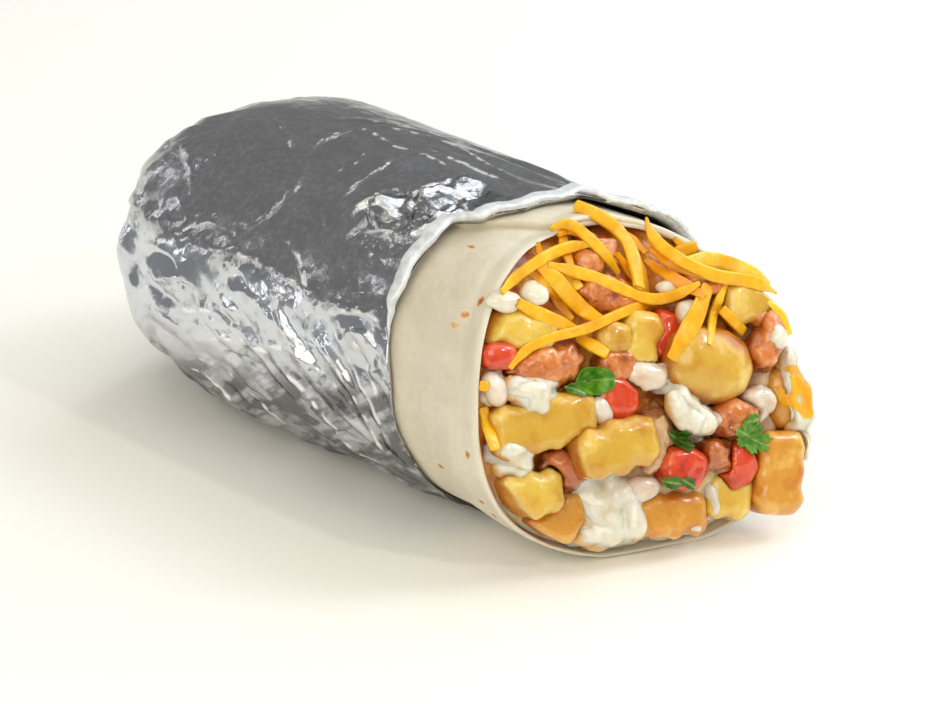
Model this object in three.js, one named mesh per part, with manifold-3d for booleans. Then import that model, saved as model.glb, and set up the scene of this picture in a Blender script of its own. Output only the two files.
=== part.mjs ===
// A burrito lying on its seam-free underside: a rolled flour tortilla, open at a slanted mouth at
// +X, closed at -X, its rear two thirds in a crumpled foil sleeve. Potato, chicken, tomato, onion
// and cream fill the mouth, with grated cheese strewn over the upper half.
// Millimetres, +Z up, origin on the resting plane under the middle of the whole burrito.
// Angles round the roll are in degrees: 0 on the far side (+Y), 90 on top, 180 on the near side.
import * as THREE from 'three';
import { mergeVertices } from 'three/addons/utils/BufferGeometryUtils.js';
import Module from 'manifold-3d';

const wasm = await Module();
wasm.setup();

// ---------------------------------------------------------------- driving sizes
const ROLL = {
  length: 155.4,
  tailWidth: 87,
  tailHeight: 71,
  mouthWidth: 76,
  mouthHeight: 72,
  roundness: 2.15, // exponent of the oval section: 2 is an ellipse, more is boxier
  tailRounding: 36,
  tailEnd: 0.45, // share of the section left at the blunt tail
  restFlat: 1.2, // how far the weight presses the underside flat
};
const MOUTH = {
  slant: 40, // the rim stands back this far towards the top of the near side
  slantTowards: 132,
  saddle: 14, // and swings forward twice round the rim
  saddleTowards: -23,
  droop: 8, // the far wall has sagged back under the filling
  droopTowards: -24,
};
const TORTILLA = {
  thickness: 2.2,
  seamStep: 1.8, // height of the overlapping edge along the top
  seamBuried: 111, // angle of that edge under the foil, up to seamBend
  seamBend: 103,
  seamRun: 19, // length of it that shows
  seamSkew: 1.02, // degrees it gains there towards the far side with each millimetre
  seamBlend: 60, // degrees over which the covered layer rises again
  seamRiser: 0.15, // share of one column of faces that the step takes
  rimRound: 0.35,
  swellFrom: 3, // past the foil's edge it swells out to the full oval
  swellTo: 18,
};
const FOIL = {
  thickness: 1.0,
  tailBulge: 0.8,
  crumple: 1.3,
  crumpleFrom: 1, // heights over the resting plane where the crumple sets in
  crumpleTo: 8,
  hem: 3.5, // the folded front edge
  hemCrown: 2.1, // its thickest line, behind its lip
  hemLip: 0.4,
  hemSwell: 0.6,
};
// Ridges crumpled into the foil: share of the depth, millimetres and degrees from one to the next.
const CREASES = [
  { share: 0.45, every: 43, turn: 90, start: 0 },
  { share: 0.35, every: 21, turn: -60, start: 0.3 },
  { share: 0.2, every: 11, turn: 36, start: 0.6 },
];
// Reach of the sleeve's front edge at angles round the roll.
const FOIL_EDGE = [
  [0, 126], [35, 129], [62, 128], [77, 116], [92, 113], [106, 109], [113, 103],
  [150, 104], [180, 108], [213, 112], [250, 117], [300, 122], [360, 126],
];
const GAP = 0.3; // clearance between pieces that touch
const HIDDEN_GAP = 0.6; // and between the wrapped layers
const CORE_GAP = 0.9; // round the mass of filling
const ROUND_STEPS = 26;
const CORE_STEPS = 18;
const TAIL_ROWS = 5; // rows round the closed tail
// The mouth faces up and to the near side; its plane carries the pieces of filling.
const FACE = {
  x: 142.5,
  z: 36,
  tilt: 22,
  turn: 19,
  radius: 40,
  widest: 1.3, // squared share of the radius past which its surface runs level
  saddle: 5.5,
  saddleTowards: 157,
  bulge: 4,
};
const OVERHANG = 4; // how far filling laps outward over the far wall's rim
const LAP_SPREAD = [0.5, 0.9]; // cosines from the wall's lowest reach where it starts and is full
const CORE_SETBACK = 4; // behind the rim, where loose pieces fill the mouth
const CORE_DEPTH = 4.5; // behind the filling's surface
// Crinkle-cut potato.
const CRINKLE = {
  pitch: 5.5,
  crest: 0.75,
  hollow: 0.45,
  uneven: 0.3,
  inset: 0.8, // of the wave's middle line in the stated width
  wornEnds: 0.22, // share of the width lost at both ends
  bevel: 1.6,
};
// The heap of grated cheese over the upper mouth.
const CHEESE = {
  middle: { right: 3, up: 23 },
  halfWidth: 32,
  above: 16,
  below: 11,
  fall: 0.25, // it lies lower towards the far side
  lift: 3,
  halfDepth: 3,
  lobes: { many: 3, depth: 0.08, start: 1 }, // its uneven outline
  tufts: { many: 7, depth: 0.06 },
};
const MIDDLE_X = 84.5; // half of the whole length, filling included

// ---------------------------------------------------------------- materials
const matter = (name, color, roughness, metalness = 0) =>
  new THREE.MeshStandardMaterial({ name, color, roughness, metalness });
const MATERIALS = {
  foil: matter('foil', 0xb9babc, 0.3, 1),
  tortilla: matter('tortilla', 0xddd5c4, 0.75),
  filling: matter('filling', 0xc99a4e, 0.55),
  cheese: matter('cheese', 0xf2b21c, 0.45),
  fry: matter('potato', 0xdcb45a, 0.5),
  chicken: matter('chicken', 0xb87345, 0.4),
  tomato: matter('tomato', 0xcf3f2a, 0.3),
  onion: matter('onion', 0xe2cdb8, 0.3),
  cream: matter('cream', 0xe6e2d2, 0.35),
};

// ---------------------------------------------------------------- small helpers
const FULL_TURN = 359; // degrees past the tortilla's open edge where it meets that edge again
const radians = THREE.MathUtils.degToRad;
const smooth = (value, from, to) => THREE.MathUtils.smoothstep(value, from, to);
const triangleWave = (v) => Math.abs(v - Math.floor(v) - 0.5) * 2;
const signedPower = (v, power) => Math.sign(v) * Math.abs(v) ** power;

/** A geometry with its shared vertices welded and only positions left. */
function weld(geometry) {
  const bare = geometry.clone();
  bare.deleteAttribute('normal');
  bare.deleteAttribute('uv');
  return mergeVertices(bare, 1e-4);
}

/** Closed solid of a geometry, its collapsed triangles dropped. */
function solid(geometry) {
  const welded = weld(geometry);
  const corners = welded.index.array;
  const kept = [];
  for (let i = 0; i < corners.length; i += 3) {
    const [a, b, c] = [corners[i], corners[i + 1], corners[i + 2]];
    if (a !== b && b !== c && c !== a) kept.push(a, b, c);
  }
  return new wasm.Manifold(new wasm.Mesh({
    numProp: 3,
    vertProperties: new Float32Array(welded.attributes.position.array),
    triVerts: new Uint32Array(kept),
  }));
}

/** Geometry of a solid. */
function geometryOf(body) {
  const mesh = body.getMesh();
  const geometry = new THREE.BufferGeometry();
  geometry.setAttribute('position', new THREE.BufferAttribute(mesh.vertProperties, 3));
  geometry.setIndex(new THREE.BufferAttribute(mesh.triVerts, 1));
  geometry.computeVertexNormals();
  return geometry;
}

/** The largest of a solid's separate parts. */
function largest(body) {
  const parts = body.decompose();
  return parts.reduce((a, b) => (b.volume() > a.volume() ? b : a));
}

/** Value at an angle on a closed list of [angle, value], eased between its points. */
function aroundRoll(list, angle) {
  const at = ((angle % 360) + 360) % 360;
  const next = list.findIndex(([a]) => a > at);
  const [a0, v0] = list[next - 1];
  const [a1, v1] = list[next];
  return THREE.MathUtils.lerp(v0, v1, smooth(at, a0, a1));
}

// ---------------------------------------------------------------- the roll's form
/** Distance from the tail to the rim of the mouth at an angle. */
function mouthReach(angle) {
  const slant = 0.5 * MOUTH.slant * (1 + Math.cos(radians(angle - MOUTH.slantTowards)));
  const saddle = 0.5 * MOUTH.saddle * (1 + Math.cos(2 * radians(angle - MOUTH.saddleTowards)));
  const droop = MOUTH.droop * Math.max(0, Math.cos(radians(angle - MOUTH.droopTowards))) ** 2;
  return ROLL.length - slant + saddle - droop;
}

/** Point of the roll at x and an angle, inset from its outer surface. */
function rollPoint(x, angle, inset) {
  const along = x / ROLL.length;
  const width = THREE.MathUtils.lerp(ROLL.tailWidth, ROLL.mouthWidth, along);
  const height = THREE.MathUtils.lerp(ROLL.tailHeight, ROLL.mouthHeight, along);
  const run = THREE.MathUtils.clamp((x - inset) / (ROLL.tailRounding - inset), 0, 1);
  const tail = ROLL.tailEnd + (1 - ROLL.tailEnd) * Math.sqrt(1 - (1 - run) ** 2);
  const power = 2 / ROLL.roundness;
  const halfWidth = (width / 2 - inset) * tail;
  const halfHeight = ((height + ROLL.restFlat) / 2 - inset) * tail;
  const middle = (height - ROLL.restFlat) / 2;
  const y = halfWidth * signedPower(Math.cos(radians(angle)), power);
  const z = middle + halfHeight * signedPower(Math.sin(radians(angle)), power);
  return new THREE.Vector3(x, y, Math.max(z, inset));
}

/** Stations along a layer: evenly turned round the tail's rounding, then at shares of the rest. */
function station(row, shares, inset, reach) {
  const turned = ROLL.tailRounding - inset;
  if (row <= TAIL_ROWS) return inset + turned * (1 - Math.cos((Math.PI / 2) * (row / TAIL_ROWS)));
  return THREE.MathUtils.lerp(ROLL.tailRounding, reach, shares[row - TAIL_ROWS - 1]);
}

/** A closed turned body, its rows and columns then moved by place(row, share of the turn). */
function shapedLathe(rows, steps, place) {
  const profile = Array.from({ length: rows }, (_, i) => new THREE.Vector2(i && i < rows - 1 ? 1 : 0, i));
  const geometry = new THREE.LatheGeometry(profile, steps);
  const position = geometry.attributes.position;
  for (let column = 0; column <= steps; column += 1) {
    for (let row = 0; row < rows; row += 1) {
      const point = place(row, (column % steps) / steps);
      position.setXYZ(column * rows + row, point.x, point.y, point.z);
    }
  }
  return geometry;
}

// ---------------------------------------------------------------- foil sleeve
/** Height of the foil's crumple: creased ridges of three sizes, none where it rests. */
function crumple(x, angle) {
  const height = CREASES.reduce(
    (sum, { share, every, turn, start }) => sum + share * triangleWave(x / every + angle / turn + start),
    0,
  );
  return FOIL.crumple * height * offGround(x, angle);
}

/** 0 where the roll rests, rising to 1 above. */
function offGround(x, angle) {
  return smooth(rollPoint(x, angle, 0).z, FOIL.crumpleFrom, FOIL.crumpleTo);
}

function foilSleeve() {
  const outerShares = [0.14, 0.28, 0.42, 0.56, 0.7, 0.85];
  const innerShares = [0.95];
  const outerRows = TAIL_ROWS + 1 + outerShares.length;
  const innerRows = TAIL_ROWS + 1 + innerShares.length;
  const rows = 1 + outerRows + 3 + innerRows + 1;
  const hemRow = 1 + outerRows;
  return shapedLathe(rows, ROUND_STEPS, (row, share) => {
    const angle = share * 360;
    const edge = aroundRoll(FOIL_EDGE, angle);
    if (row === 0 || row === rows - 1) {
      const x = row === 0 ? -FOIL.tailBulge : FOIL.thickness;
      return new THREE.Vector3(x, 0, ROLL.tailHeight / 2);
    }
    if (row < hemRow) {
      const x = station(row - 1, outerShares, 0, edge - FOIL.hem);
      return rollPoint(x, angle, -crumple(x, angle));
    }
    if (row < hemRow + 2) {
      const x = edge - (row === hemRow ? FOIL.hemCrown : FOIL.hemLip);
      return rollPoint(x, angle, -FOIL.hemSwell * offGround(x, angle));
    }
    if (row === hemRow + 2) return rollPoint(edge, angle, FOIL.thickness / 2);
    const x = station(rows - 2 - row, innerShares, FOIL.thickness, edge);
    return rollPoint(x, angle, FOIL.thickness);
  });
}

// ---------------------------------------------------------------- tortilla
/** Angle of the overlapping edge at x. */
function seamAngle(x) {
  const run = THREE.MathUtils.clamp(x - TORTILLA.seamBend, 0, TORTILLA.seamRun);
  return TORTILLA.seamBuried - TORTILLA.seamSkew * run;
}

/** Insets of the tortilla's outer and inner face at x, and turn degrees past its open edge. */
function tortillaLayers(x, angle, turn) {
  const edge = aroundRoll(FOIL_EDGE, angle);
  const swell = smooth(x, edge + TORTILLA.swellFrom, edge + TORTILLA.swellTo);
  const buried = (FOIL.thickness + HIDDEN_GAP) * (1 - swell);
  const under = TORTILLA.seamStep * (1 - smooth(turn, 0, TORTILLA.seamBlend));
  const doubled = TORTILLA.seamStep * smooth(turn, 360 - TORTILLA.seamBlend, FULL_TURN);
  const outer = buried + under;
  return { outer, inner: outer + TORTILLA.thickness + doubled };
}

/** Shell of the tortilla: its last step round the roll is the riser of the overlapping edge. */
function tortillaShell() {
  const outerShares = [0.62, 0.76, 0.86, 0.95];
  const innerShares = [0.6, 0.8, 0.94];
  const outerRows = TAIL_ROWS + 1 + outerShares.length;
  const innerRows = TAIL_ROWS + 1 + innerShares.length;
  const rows = 1 + outerRows + 2 + innerRows + 1;
  const rimRow = 1 + outerRows;
  const tailX = FOIL.thickness + HIDDEN_GAP;
  const innerTailX = tailX + TORTILLA.thickness;
  return shapedLathe(rows, ROUND_STEPS, (row, share) => {
    if (row === 0) return new THREE.Vector3(tailX, 0, ROLL.tailHeight / 2);
    if (row === rows - 1) return new THREE.Vector3(innerTailX, 0, ROLL.tailHeight / 2);
    const inner = row > rimRow + 1;
    const onRim = row === rimRow || row === rimRow + 1;
    const steps = ROUND_STEPS + TORTILLA.seamRiser - 1;
    const turn = Math.min(share * 360 * (ROUND_STEPS / steps), FULL_TURN);
    const stationAt = (reach) => {
      if (onRim) return reach;
      if (inner) return station(rows - 2 - row, innerShares, innerTailX, reach);
      return station(row - 1, outerShares, tailX, reach);
    };
    const guess = stationAt(mouthReach(seamAngle(ROLL.length) + turn));
    const angle = seamAngle(guess) + turn;
    const x = stationAt(mouthReach(angle));
    const layers = tortillaLayers(x, angle, turn);
    if (row === rimRow) return rollPoint(x, angle, layers.outer + TORTILLA.rimRound);
    if (row === rimRow + 1) return rollPoint(x, angle, layers.inner - TORTILLA.rimRound);
    return rollPoint(x, angle, inner ? layers.inner : layers.outer);
  });
}

/** Point inside the tortilla at x and an angle, clear of it by a gap. */
function insidePoint(x, angle, gap = GAP) {
  const turn = (((angle - seamAngle(x)) % 360) + 360) % 360;
  const { inner } = tortillaLayers(x, angle, Math.min(turn, FULL_TURN));
  return rollPoint(x, angle, inner + gap);
}

/** The room that the pieces of filling may take: inside the wall, and just over its rim. */
function mouthRoom() {
  const pastRim = [-42, -18, GAP, GAP * 2, 22]; // sections by their distance past the rim
  return shapedLathe(pastRim.length + 2, ROUND_STEPS, (row, share) => {
    const angle = share * 360;
    const reach = mouthReach(angle);
    const step = THREE.MathUtils.clamp(row - 1, 0, pastRim.length - 1);
    const x = reach + pastRim[step];
    if (row === 0 || row > pastRim.length) {
      return new THREE.Vector3(ROLL.length + pastRim[step], 0, FACE.z);
    }
    const towardsDroop = Math.cos(radians(angle - MOUTH.droopTowards));
    const lap = pastRim[step] > GAP ? OVERHANG * smooth(towardsDroop, ...LAP_SPREAD) : 0;
    return insidePoint(x, angle, GAP - lap);
  });
}

// ---------------------------------------------------------------- filling
/** How far the filling's surface stands out of the mouth's plane. */
function faceOut(right, up) {
  const rho = Math.min((right * right + up * up) / FACE.radius ** 2, FACE.widest);
  const around = Math.atan2(up, right);
  const saddle = FACE.saddle * rho * Math.cos(2 * (around - radians(FACE.saddleTowards)));
  return saddle + FACE.bulge * (1 - Math.min(rho, 1));
}

/** Group of the mouth's plane: x to the right, y up, z out of the mouth. */
function facePlane() {
  const tilt = radians(FACE.tilt);
  const turn = radians(FACE.turn);
  const out = new THREE.Vector3(
    Math.cos(tilt) * Math.cos(turn),
    -Math.cos(tilt) * Math.sin(turn),
    Math.sin(tilt),
  );
  const right = new THREE.Vector3(0, 0, 1).cross(out).normalize();
  const up = out.clone().cross(right);
  return new THREE.Matrix4()
    .makeBasis(right, up, out)
    .setPosition(FACE.x, 0, FACE.z);
}

/** The mass of filling that runs through the roll, up to just behind the mouth. */
function fillingCore() {
  const inset = FOIL.thickness + HIDDEN_GAP + TORTILLA.thickness + CORE_GAP;
  const sideShares = [0.5, 0.74, 1];
  const domeShares = [0.7, 0.35];
  const sideRows = TAIL_ROWS + 1 + sideShares.length;
  const rows = 1 + sideRows + domeShares.length + 1;
  const face = facePlane();
  const toFace = face.clone().invert();
  const rim = (angle) => insidePoint(mouthReach(angle) - CORE_SETBACK, angle, CORE_GAP);
  return shapedLathe(rows, CORE_STEPS, (row, share) => {
    const angle = share * 360;
    if (row === 0) return new THREE.Vector3(inset, 0, ROLL.tailHeight / 2);
    if (row <= sideRows) {
      const x = station(row - 1, sideShares, inset, mouthReach(angle) - CORE_SETBACK);
      return insidePoint(x, angle, CORE_GAP);
    }
    const shrink = row === rows - 1 ? 0 : domeShares[row - 1 - sideRows];
    const flat = rim(angle).applyMatrix4(toFace);
    const right = flat.x * shrink;
    const up = flat.y * shrink;
    const ease = 1 - shrink ** 2;
    const out = THREE.MathUtils.lerp(flat.z, faceOut(right, up) - CORE_DEPTH, ease);
    return new THREE.Vector3(right, up, out).applyMatrix4(face);
  });
}

/** Irregular rounded lump: boxy is 2 for a ball and more for a cube, wobble roughens it. */
function lump({ size, boxy, wobble, seed, steps = 8, grow = 0 }) {
  const geometry = weld(new THREE.SphereGeometry(1, steps, Math.round(steps * 0.6)));
  geometry.rotateX(Math.PI / 2);
  const position = geometry.attributes.position;
  const point = new THREE.Vector3();
  const power = 2 / boxy;
  for (let i = 0; i < position.count; i += 1) {
    point.fromBufferAttribute(position, i);
    const wave = Math.sin(3.1 * point.x + seed * 1.7) * Math.sin(2.7 * point.y + seed * 2.9)
      + 0.6 * Math.sin(4.3 * point.z + seed * 0.7 + 2 * point.x);
    const swell = 1 + wobble * wave;
    point.set(...point.toArray().map((v) => signedPower(v, power)));
    point.multiplyScalar(swell / Math.max(1, point.length() ** 0.35));
    position.setXYZ(
      i,
      point.x * (size[0] / 2 + grow),
      point.y * (size[1] / 2 + grow),
      point.z * (size[2] / 2 + grow),
    );
  }
  return geometry;
}

/** Short piece of crinkle-cut potato: waves along both long edges, ends worn round. */
function crinkleFry({ size, seed, grow = 0 }) {
  const [length, width, depth] = size;
  const waves = Math.max(1, Math.round(length / CRINKLE.pitch));
  const bevel = Math.min(CRINKLE.bevel, depth * 0.2);
  const points = [];
  const perEdge = waves * 2 + 1;
  for (let side = 1; side >= -1; side -= 2) {
    for (let i = 0; i < perEdge; i += 1) {
      const share = i / (perEdge - 1);
      const along = side * (0.5 - share) * (length + 2 * grow);
      const worn = 1 - CRINKLE.wornEnds * Math.abs(2 * share - 1) ** 4;
      const crest = i % 2 === 0 ? -CRINKLE.hollow : CRINKLE.crest;
      const wave = crest + CRINKLE.uneven * Math.sin(seed * 3 + i * 2.1) - CRINKLE.inset;
      points.push(new THREE.Vector2(along, side * ((width / 2 + wave) * worn + grow)));
    }
  }
  const shape = new THREE.Shape(points.reverse());
  const geometry = new THREE.ExtrudeGeometry(shape, {
    depth: depth + 2 * grow - 2 * bevel,
    bevelThickness: bevel,
    bevelSize: bevel,
    bevelOffset: -bevel,
    bevelSegments: 1,
    steps: 1,
  });
  geometry.translate(0, 0, bevel - depth / 2 - grow);
  return geometry;
}

const FORMS = {
  fry: (piece) => crinkleFry(piece),
  potato: (piece) => lump({ ...piece, boxy: 2.6, wobble: 0.05, steps: 10 }),
  chicken: (piece) => lump({ ...piece, boxy: 2.5, wobble: 0.12 }),
  tomato: (piece) => lump({ ...piece, boxy: 4.5, wobble: 0.04 }),
  onion: (piece) => lump({ ...piece, boxy: 3.2, wobble: 0.06 }),
  cream: (piece) => lump({ ...piece, boxy: 2.1, wobble: 0.1 }),
};

// The pieces at the mouth, front ones first, since each is cut away from those behind it.
// [name, form, right, up, out, length, width, depth, turn in degrees]; out is its foremost point.
const PIECES = [
  ['cream_drip', 'cream', 10, -6, 10, 15, 8, 7, -47],
  ['potato_round', 'potato', 17, 3, 10, 22, 17, 12, -15],
  ['fry_front', 'fry', -9, -10, 10, 18, 12, 11, 5],
  ['chicken_left', 'chicken', -21, 10, 8, 19, 11, 11, -3],
  ['cream_left', 'cream', -27, 6, 8, 12, 9, 7, -20],
  ['fry_long', 'fry', -24, -2, 7, 24, 13, 11, 0],
  ['chicken_fork', 'chicken', 21, -10, 8, 13, 9, 9, 7],
  ['tomato_low', 'tomato', 7, -18, 8, 12, 10, 10, -25],
  ['chicken_low', 'chicken', 16, -17, 7, 10, 9, 9, -11],
  ['tomato_middle', 'tomato', -6, 0, 7, 12, 10, 10, -29],
  ['chicken_pale', 'chicken', 2, -11, 7, 17, 10, 11, 69],
  ['onion_middle', 'onion', 2, 3, 7, 11, 7, 6, -20],
  ['onion_right', 'onion', 28, -8, 6, 10, 9, 6, 31],
  ['tomato_right', 'tomato', 21, -20, 6, 11, 10, 10, -67],
  ['fry_upright', 'fry', 2, 11, 6, 13, 10, 9, 69],
  ['chicken_right', 'chicken', 33, 5, 7, 15, 9, 9, 47],
  ['fry_upper_left', 'fry', -27, 19, 7, 18, 9, 10, -20],
  ['onion_left', 'onion', -33, 8, 5, 11, 8, 6, 69],
  ['fry_low_left', 'fry', -28, -17, 4, 15, 11, 11, 0],
  ['chicken_dark', 'chicken', -19, -13, 4, 14, 10, 10, -39],
  ['tomato_upper', 'tomato', 9, 11, 4, 12, 9, 10, 58],
  ['onion_low', 'onion', -3, -21, 4, 11, 6, 6, -3],
  ['cream_low_left', 'cream', -30, -10, 3, 10, 7, 7, -12],
  ['chicken_middle', 'chicken', -3, 22, 4, 15, 9, 9, -17],
  ['chicken_high', 'chicken', -1, 33, 0, 11, 9, 9, -10],
  ['chicken_upper', 'chicken', -6, 29, 2, 10, 8, 8, -10],
  ['fry_upper_right', 'fry', 31, 14, 4, 13, 11, 9, -10],
  ['potato_right', 'potato', 37, -8, 4, 11, 15, 11, -11],
  ['fry_right', 'fry', 31, -24, 6, 18, 13, 11, 76],
  ['fry_low_right', 'fry', 19, -27, 3, 11, 12, 10, -12],
  ['fry_low', 'fry', 3, -28, 3, 20, 11, 11, -8],
  ['cream_pool', 'cream', -10, -26, 1, 22, 17, 12, -12],
  ['fry_bottom_left', 'fry', -21, -25, 0, 15, 11, 11, 26],
  ['cream_edge', 'cream', 38, -10, 6, 8, 27, 9, 2],
];
const SLOT_OF_FORM = { potato: 'fry' };

/** Where a piece lies in the plane of the mouth. */
function placeOf([, , right, up, out, , , depth, turn]) {
  return new THREE.Matrix4()
    .makeRotationZ(radians(turn))
    .setPosition(right, up, out - depth / 2);
}

/** Closed solid of a piece in the plane of the mouth, optionally grown all round. */
function pieceSolid(piece, index, grow = 0) {
  const [, form, , , , length, width, depth] = piece;
  const geometry = FORMS[form]({ size: [length, width, depth], seed: index + 1, grow });
  return solid(geometry.applyMatrix4(placeOf(piece)));
}

// ---------------------------------------------------------------- grated cheese
/** Blanket of grated cheese: a thin heap with an uneven outline over the upper mouth. */
function cheeseHeap() {
  const { right: middle, up: height } = CHEESE.middle;
  const geometry = weld(new THREE.SphereGeometry(1, 16, 6));
  geometry.rotateX(Math.PI / 2);
  const position = geometry.attributes.position;
  for (let i = 0; i < position.count; i += 1) {
    const [x, y, z] = [position.getX(i), position.getY(i), position.getZ(i)];
    const around = Math.atan2(y, x);
    const lobe = CHEESE.lobes.depth * Math.sin(CHEESE.lobes.many * around + CHEESE.lobes.start);
    const uneven = 1 + lobe + CHEESE.tufts.depth * Math.sin(CHEESE.tufts.many * around);
    const right = middle + CHEESE.halfWidth * x * uneven;
    const reach = y > 0 ? CHEESE.above : CHEESE.below;
    const up = height + reach * y * uneven - CHEESE.fall * Math.max(0, right);
    position.setXYZ(i, right, up, faceOut(right, up) + CHEESE.lift + CHEESE.halfDepth * z);
  }
  return geometry;
}

// ---------------------------------------------------------------- the burrito
const burrito = new THREE.Group();
burrito.position.x = -MIDDLE_X;

function addPiece(parent, name, body, material) {
  const mesh = new THREE.Mesh(geometryOf(body), material);
  mesh.name = name;
  parent.add(mesh);
}

const mouth = new THREE.Group();
mouth.applyMatrix4(facePlane());
burrito.add(mouth);

addPiece(burrito, 'foil_wrap', solid(foilSleeve()), MATERIALS.foil);
addPiece(burrito, 'tortilla', solid(tortillaShell()), MATERIALS.tortilla);

const toFace = facePlane().invert();
const room = solid(mouthRoom().applyMatrix4(toFace));
const grown = PIECES.map((piece, index) => pieceSolid(piece, index, GAP));
const cutBy = (body, fronts) => fronts.reduce((rest, front) => rest.subtract(front), body);
PIECES.forEach((piece, index) => {
  const [name, form] = piece;
  const whole = pieceSolid(piece, index).intersect(room);
  const body = largest(cutBy(whole, grown.slice(0, index)));
  addPiece(mouth, name, body, MATERIALS[SLOT_OF_FORM[form] ?? form]);
});
const cheese = largest(cutBy(solid(cheeseHeap()), grown));
addPiece(mouth, 'grated_cheese', cheese, MATERIALS.cheese);
const core = largest(cutBy(solid(fillingCore().applyMatrix4(toFace)), grown));
addPiece(mouth, 'filling_core', core, MATERIALS.filling);

export default burrito;
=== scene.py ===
"""A burrito on its side: rolled flour tortilla, its filling at a slanted mouth, crumpled foil behind.

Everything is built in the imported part's own frame: metres, +X towards the mouth, +Z up. Shapes are worked out
in millimetres and turned into metres when their mesh is made. Angles round the roll are in degrees: 0 on the
far side (+Y), 90 on top, 180 on the near side.
"""
import logging
from abc import ABC, abstractmethod
from dataclasses import dataclass, field, replace
from enum import Enum
from typing import Any, Mapping, Sequence

import bpy
import numpy as np
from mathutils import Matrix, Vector
from mathutils.bvhtree import BVHTree


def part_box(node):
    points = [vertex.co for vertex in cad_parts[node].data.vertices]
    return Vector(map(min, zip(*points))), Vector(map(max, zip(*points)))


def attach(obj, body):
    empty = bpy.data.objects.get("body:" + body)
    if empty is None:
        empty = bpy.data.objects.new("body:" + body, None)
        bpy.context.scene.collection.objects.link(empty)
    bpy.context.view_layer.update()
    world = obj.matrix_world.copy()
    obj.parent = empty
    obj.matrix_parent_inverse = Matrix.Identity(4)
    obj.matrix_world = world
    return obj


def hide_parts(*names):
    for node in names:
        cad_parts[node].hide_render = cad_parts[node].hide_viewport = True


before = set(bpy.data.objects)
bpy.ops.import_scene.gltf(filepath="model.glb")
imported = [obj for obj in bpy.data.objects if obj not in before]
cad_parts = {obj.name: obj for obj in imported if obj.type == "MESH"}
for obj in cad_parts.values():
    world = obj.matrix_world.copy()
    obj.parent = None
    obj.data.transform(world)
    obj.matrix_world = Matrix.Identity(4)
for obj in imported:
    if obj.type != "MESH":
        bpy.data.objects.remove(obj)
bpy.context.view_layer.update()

MM = 0.001
ROOT = "root"
LOG = logging.getLogger("burrito")

Array = np.ndarray
Socket = bpy.types.NodeSocket


# ---------------------------------------------------------------- numbers
def smoothstep(value: Array, low: float, high: float) -> Array:
    """Ease from 0 at low to 1 at high; low may be above high for a falling ease."""
    share = np.clip((value - low) / (high - low), 0.0, 1.0)
    return share * share * (3.0 - 2.0 * share)


def window(value: Array, start: float, end: float, ease: float) -> Array:
    """1 between start and end, easing to 0 over a width outside."""
    return smoothstep(value, start - ease, start) * (1.0 - smoothstep(value, end, end + ease))


def lattice_random(cells: Array, seed: int) -> Array:
    """A fixed random number for each cell of a lattice.

    Args:
        cells: Whole-numbered cells, shape (..., 3).
        seed: Which set of numbers.

    Returns:
        Numbers from -1 to 1, shape (...).
    """
    whole = cells.astype(np.int64)
    mixed = whole[..., 0] * 73856093 ^ whole[..., 1] * 19349663 ^ whole[..., 2] * 83492791
    mixed = (mixed ^ (seed * 2654435761)) & 0xFFFFFFFF
    mixed = ((mixed ^ (mixed >> 15)) * 2246822519) & 0xFFFFFFFF
    mixed = ((mixed ^ (mixed >> 13)) * 3266489917) & 0xFFFFFFFF
    return (mixed ^ (mixed >> 16)) / 2147483647.5 - 1.0


def soft_noise(points: Array, size: float | Sequence[float], seed: int) -> Array:
    """Smooth random relief.

    Args:
        points: Where to read it, shape (..., 3).
        size: Width of a swelling, the same or one for each axis.
        seed: Which relief.

    Returns:
        Values from -1 to 1.
    """
    scaled = points / np.asarray(size, dtype=float) + seed * 17.31
    base = np.floor(scaled)
    share = scaled - base
    share = share * share * share * (share * (share * 6.0 - 15.0) + 10.0)
    total = np.zeros(points.shape[:-1])
    for corner in np.ndindex(2, 2, 2):
        offset = np.array(corner)
        weight = np.prod(np.where(offset == 1, share, 1.0 - share), axis=-1)
        total += weight * lattice_random(base + offset, seed)
    return total


def facet_noise(points: Array, size: float | Sequence[float], seed: int) -> Array:
    """Random relief of flat facets that meet in straight creases.

    Args:
        points: Where to read it, shape (..., 3).
        size: Width of a facet, the same or one for each axis.
        seed: Which relief.

    Returns:
        Values from -1 to 1.
    """
    scaled = points / np.asarray(size, dtype=float) + seed * 11.73
    skewed = scaled + scaled.sum(-1, keepdims=True) / 3.0
    base = np.floor(skewed)
    share = skewed - base
    order = np.argsort(-share, axis=-1)
    ranked = np.take_along_axis(share, order, axis=-1)
    corner = base.copy()
    total = (1.0 - ranked[..., 0]) * lattice_random(corner, seed)
    for step in range(3):
        unit = np.zeros_like(corner)
        np.put_along_axis(unit, order[..., step:step + 1], 1.0, axis=-1)
        corner = corner + unit
        following = ranked[..., step + 1] if step < 2 else 0.0
        total += (ranked[..., step] - following) * lattice_random(corner, seed)
    return total


def eased_table(table: Sequence[tuple[float, float]], angle: Array) -> Array:
    """Value at an angle on a closed table of (angle, value), eased between its points.

    Args:
        table: Points from 0 to 360 degrees.
        angle: Angles to read, in degrees.

    Returns:
        The values.
    """
    angles = np.array([point[0] for point in table], dtype=float)
    values = np.array([point[1] for point in table], dtype=float)
    at = np.mod(angle, 360.0)
    index = np.clip(np.searchsorted(angles, at, side="right") - 1, 0, len(angles) - 2)
    share = (at - angles[index]) / (angles[index + 1] - angles[index])
    share = share * share * (3.0 - 2.0 * share)
    return values[index] + (values[index + 1] - values[index]) * share


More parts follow.
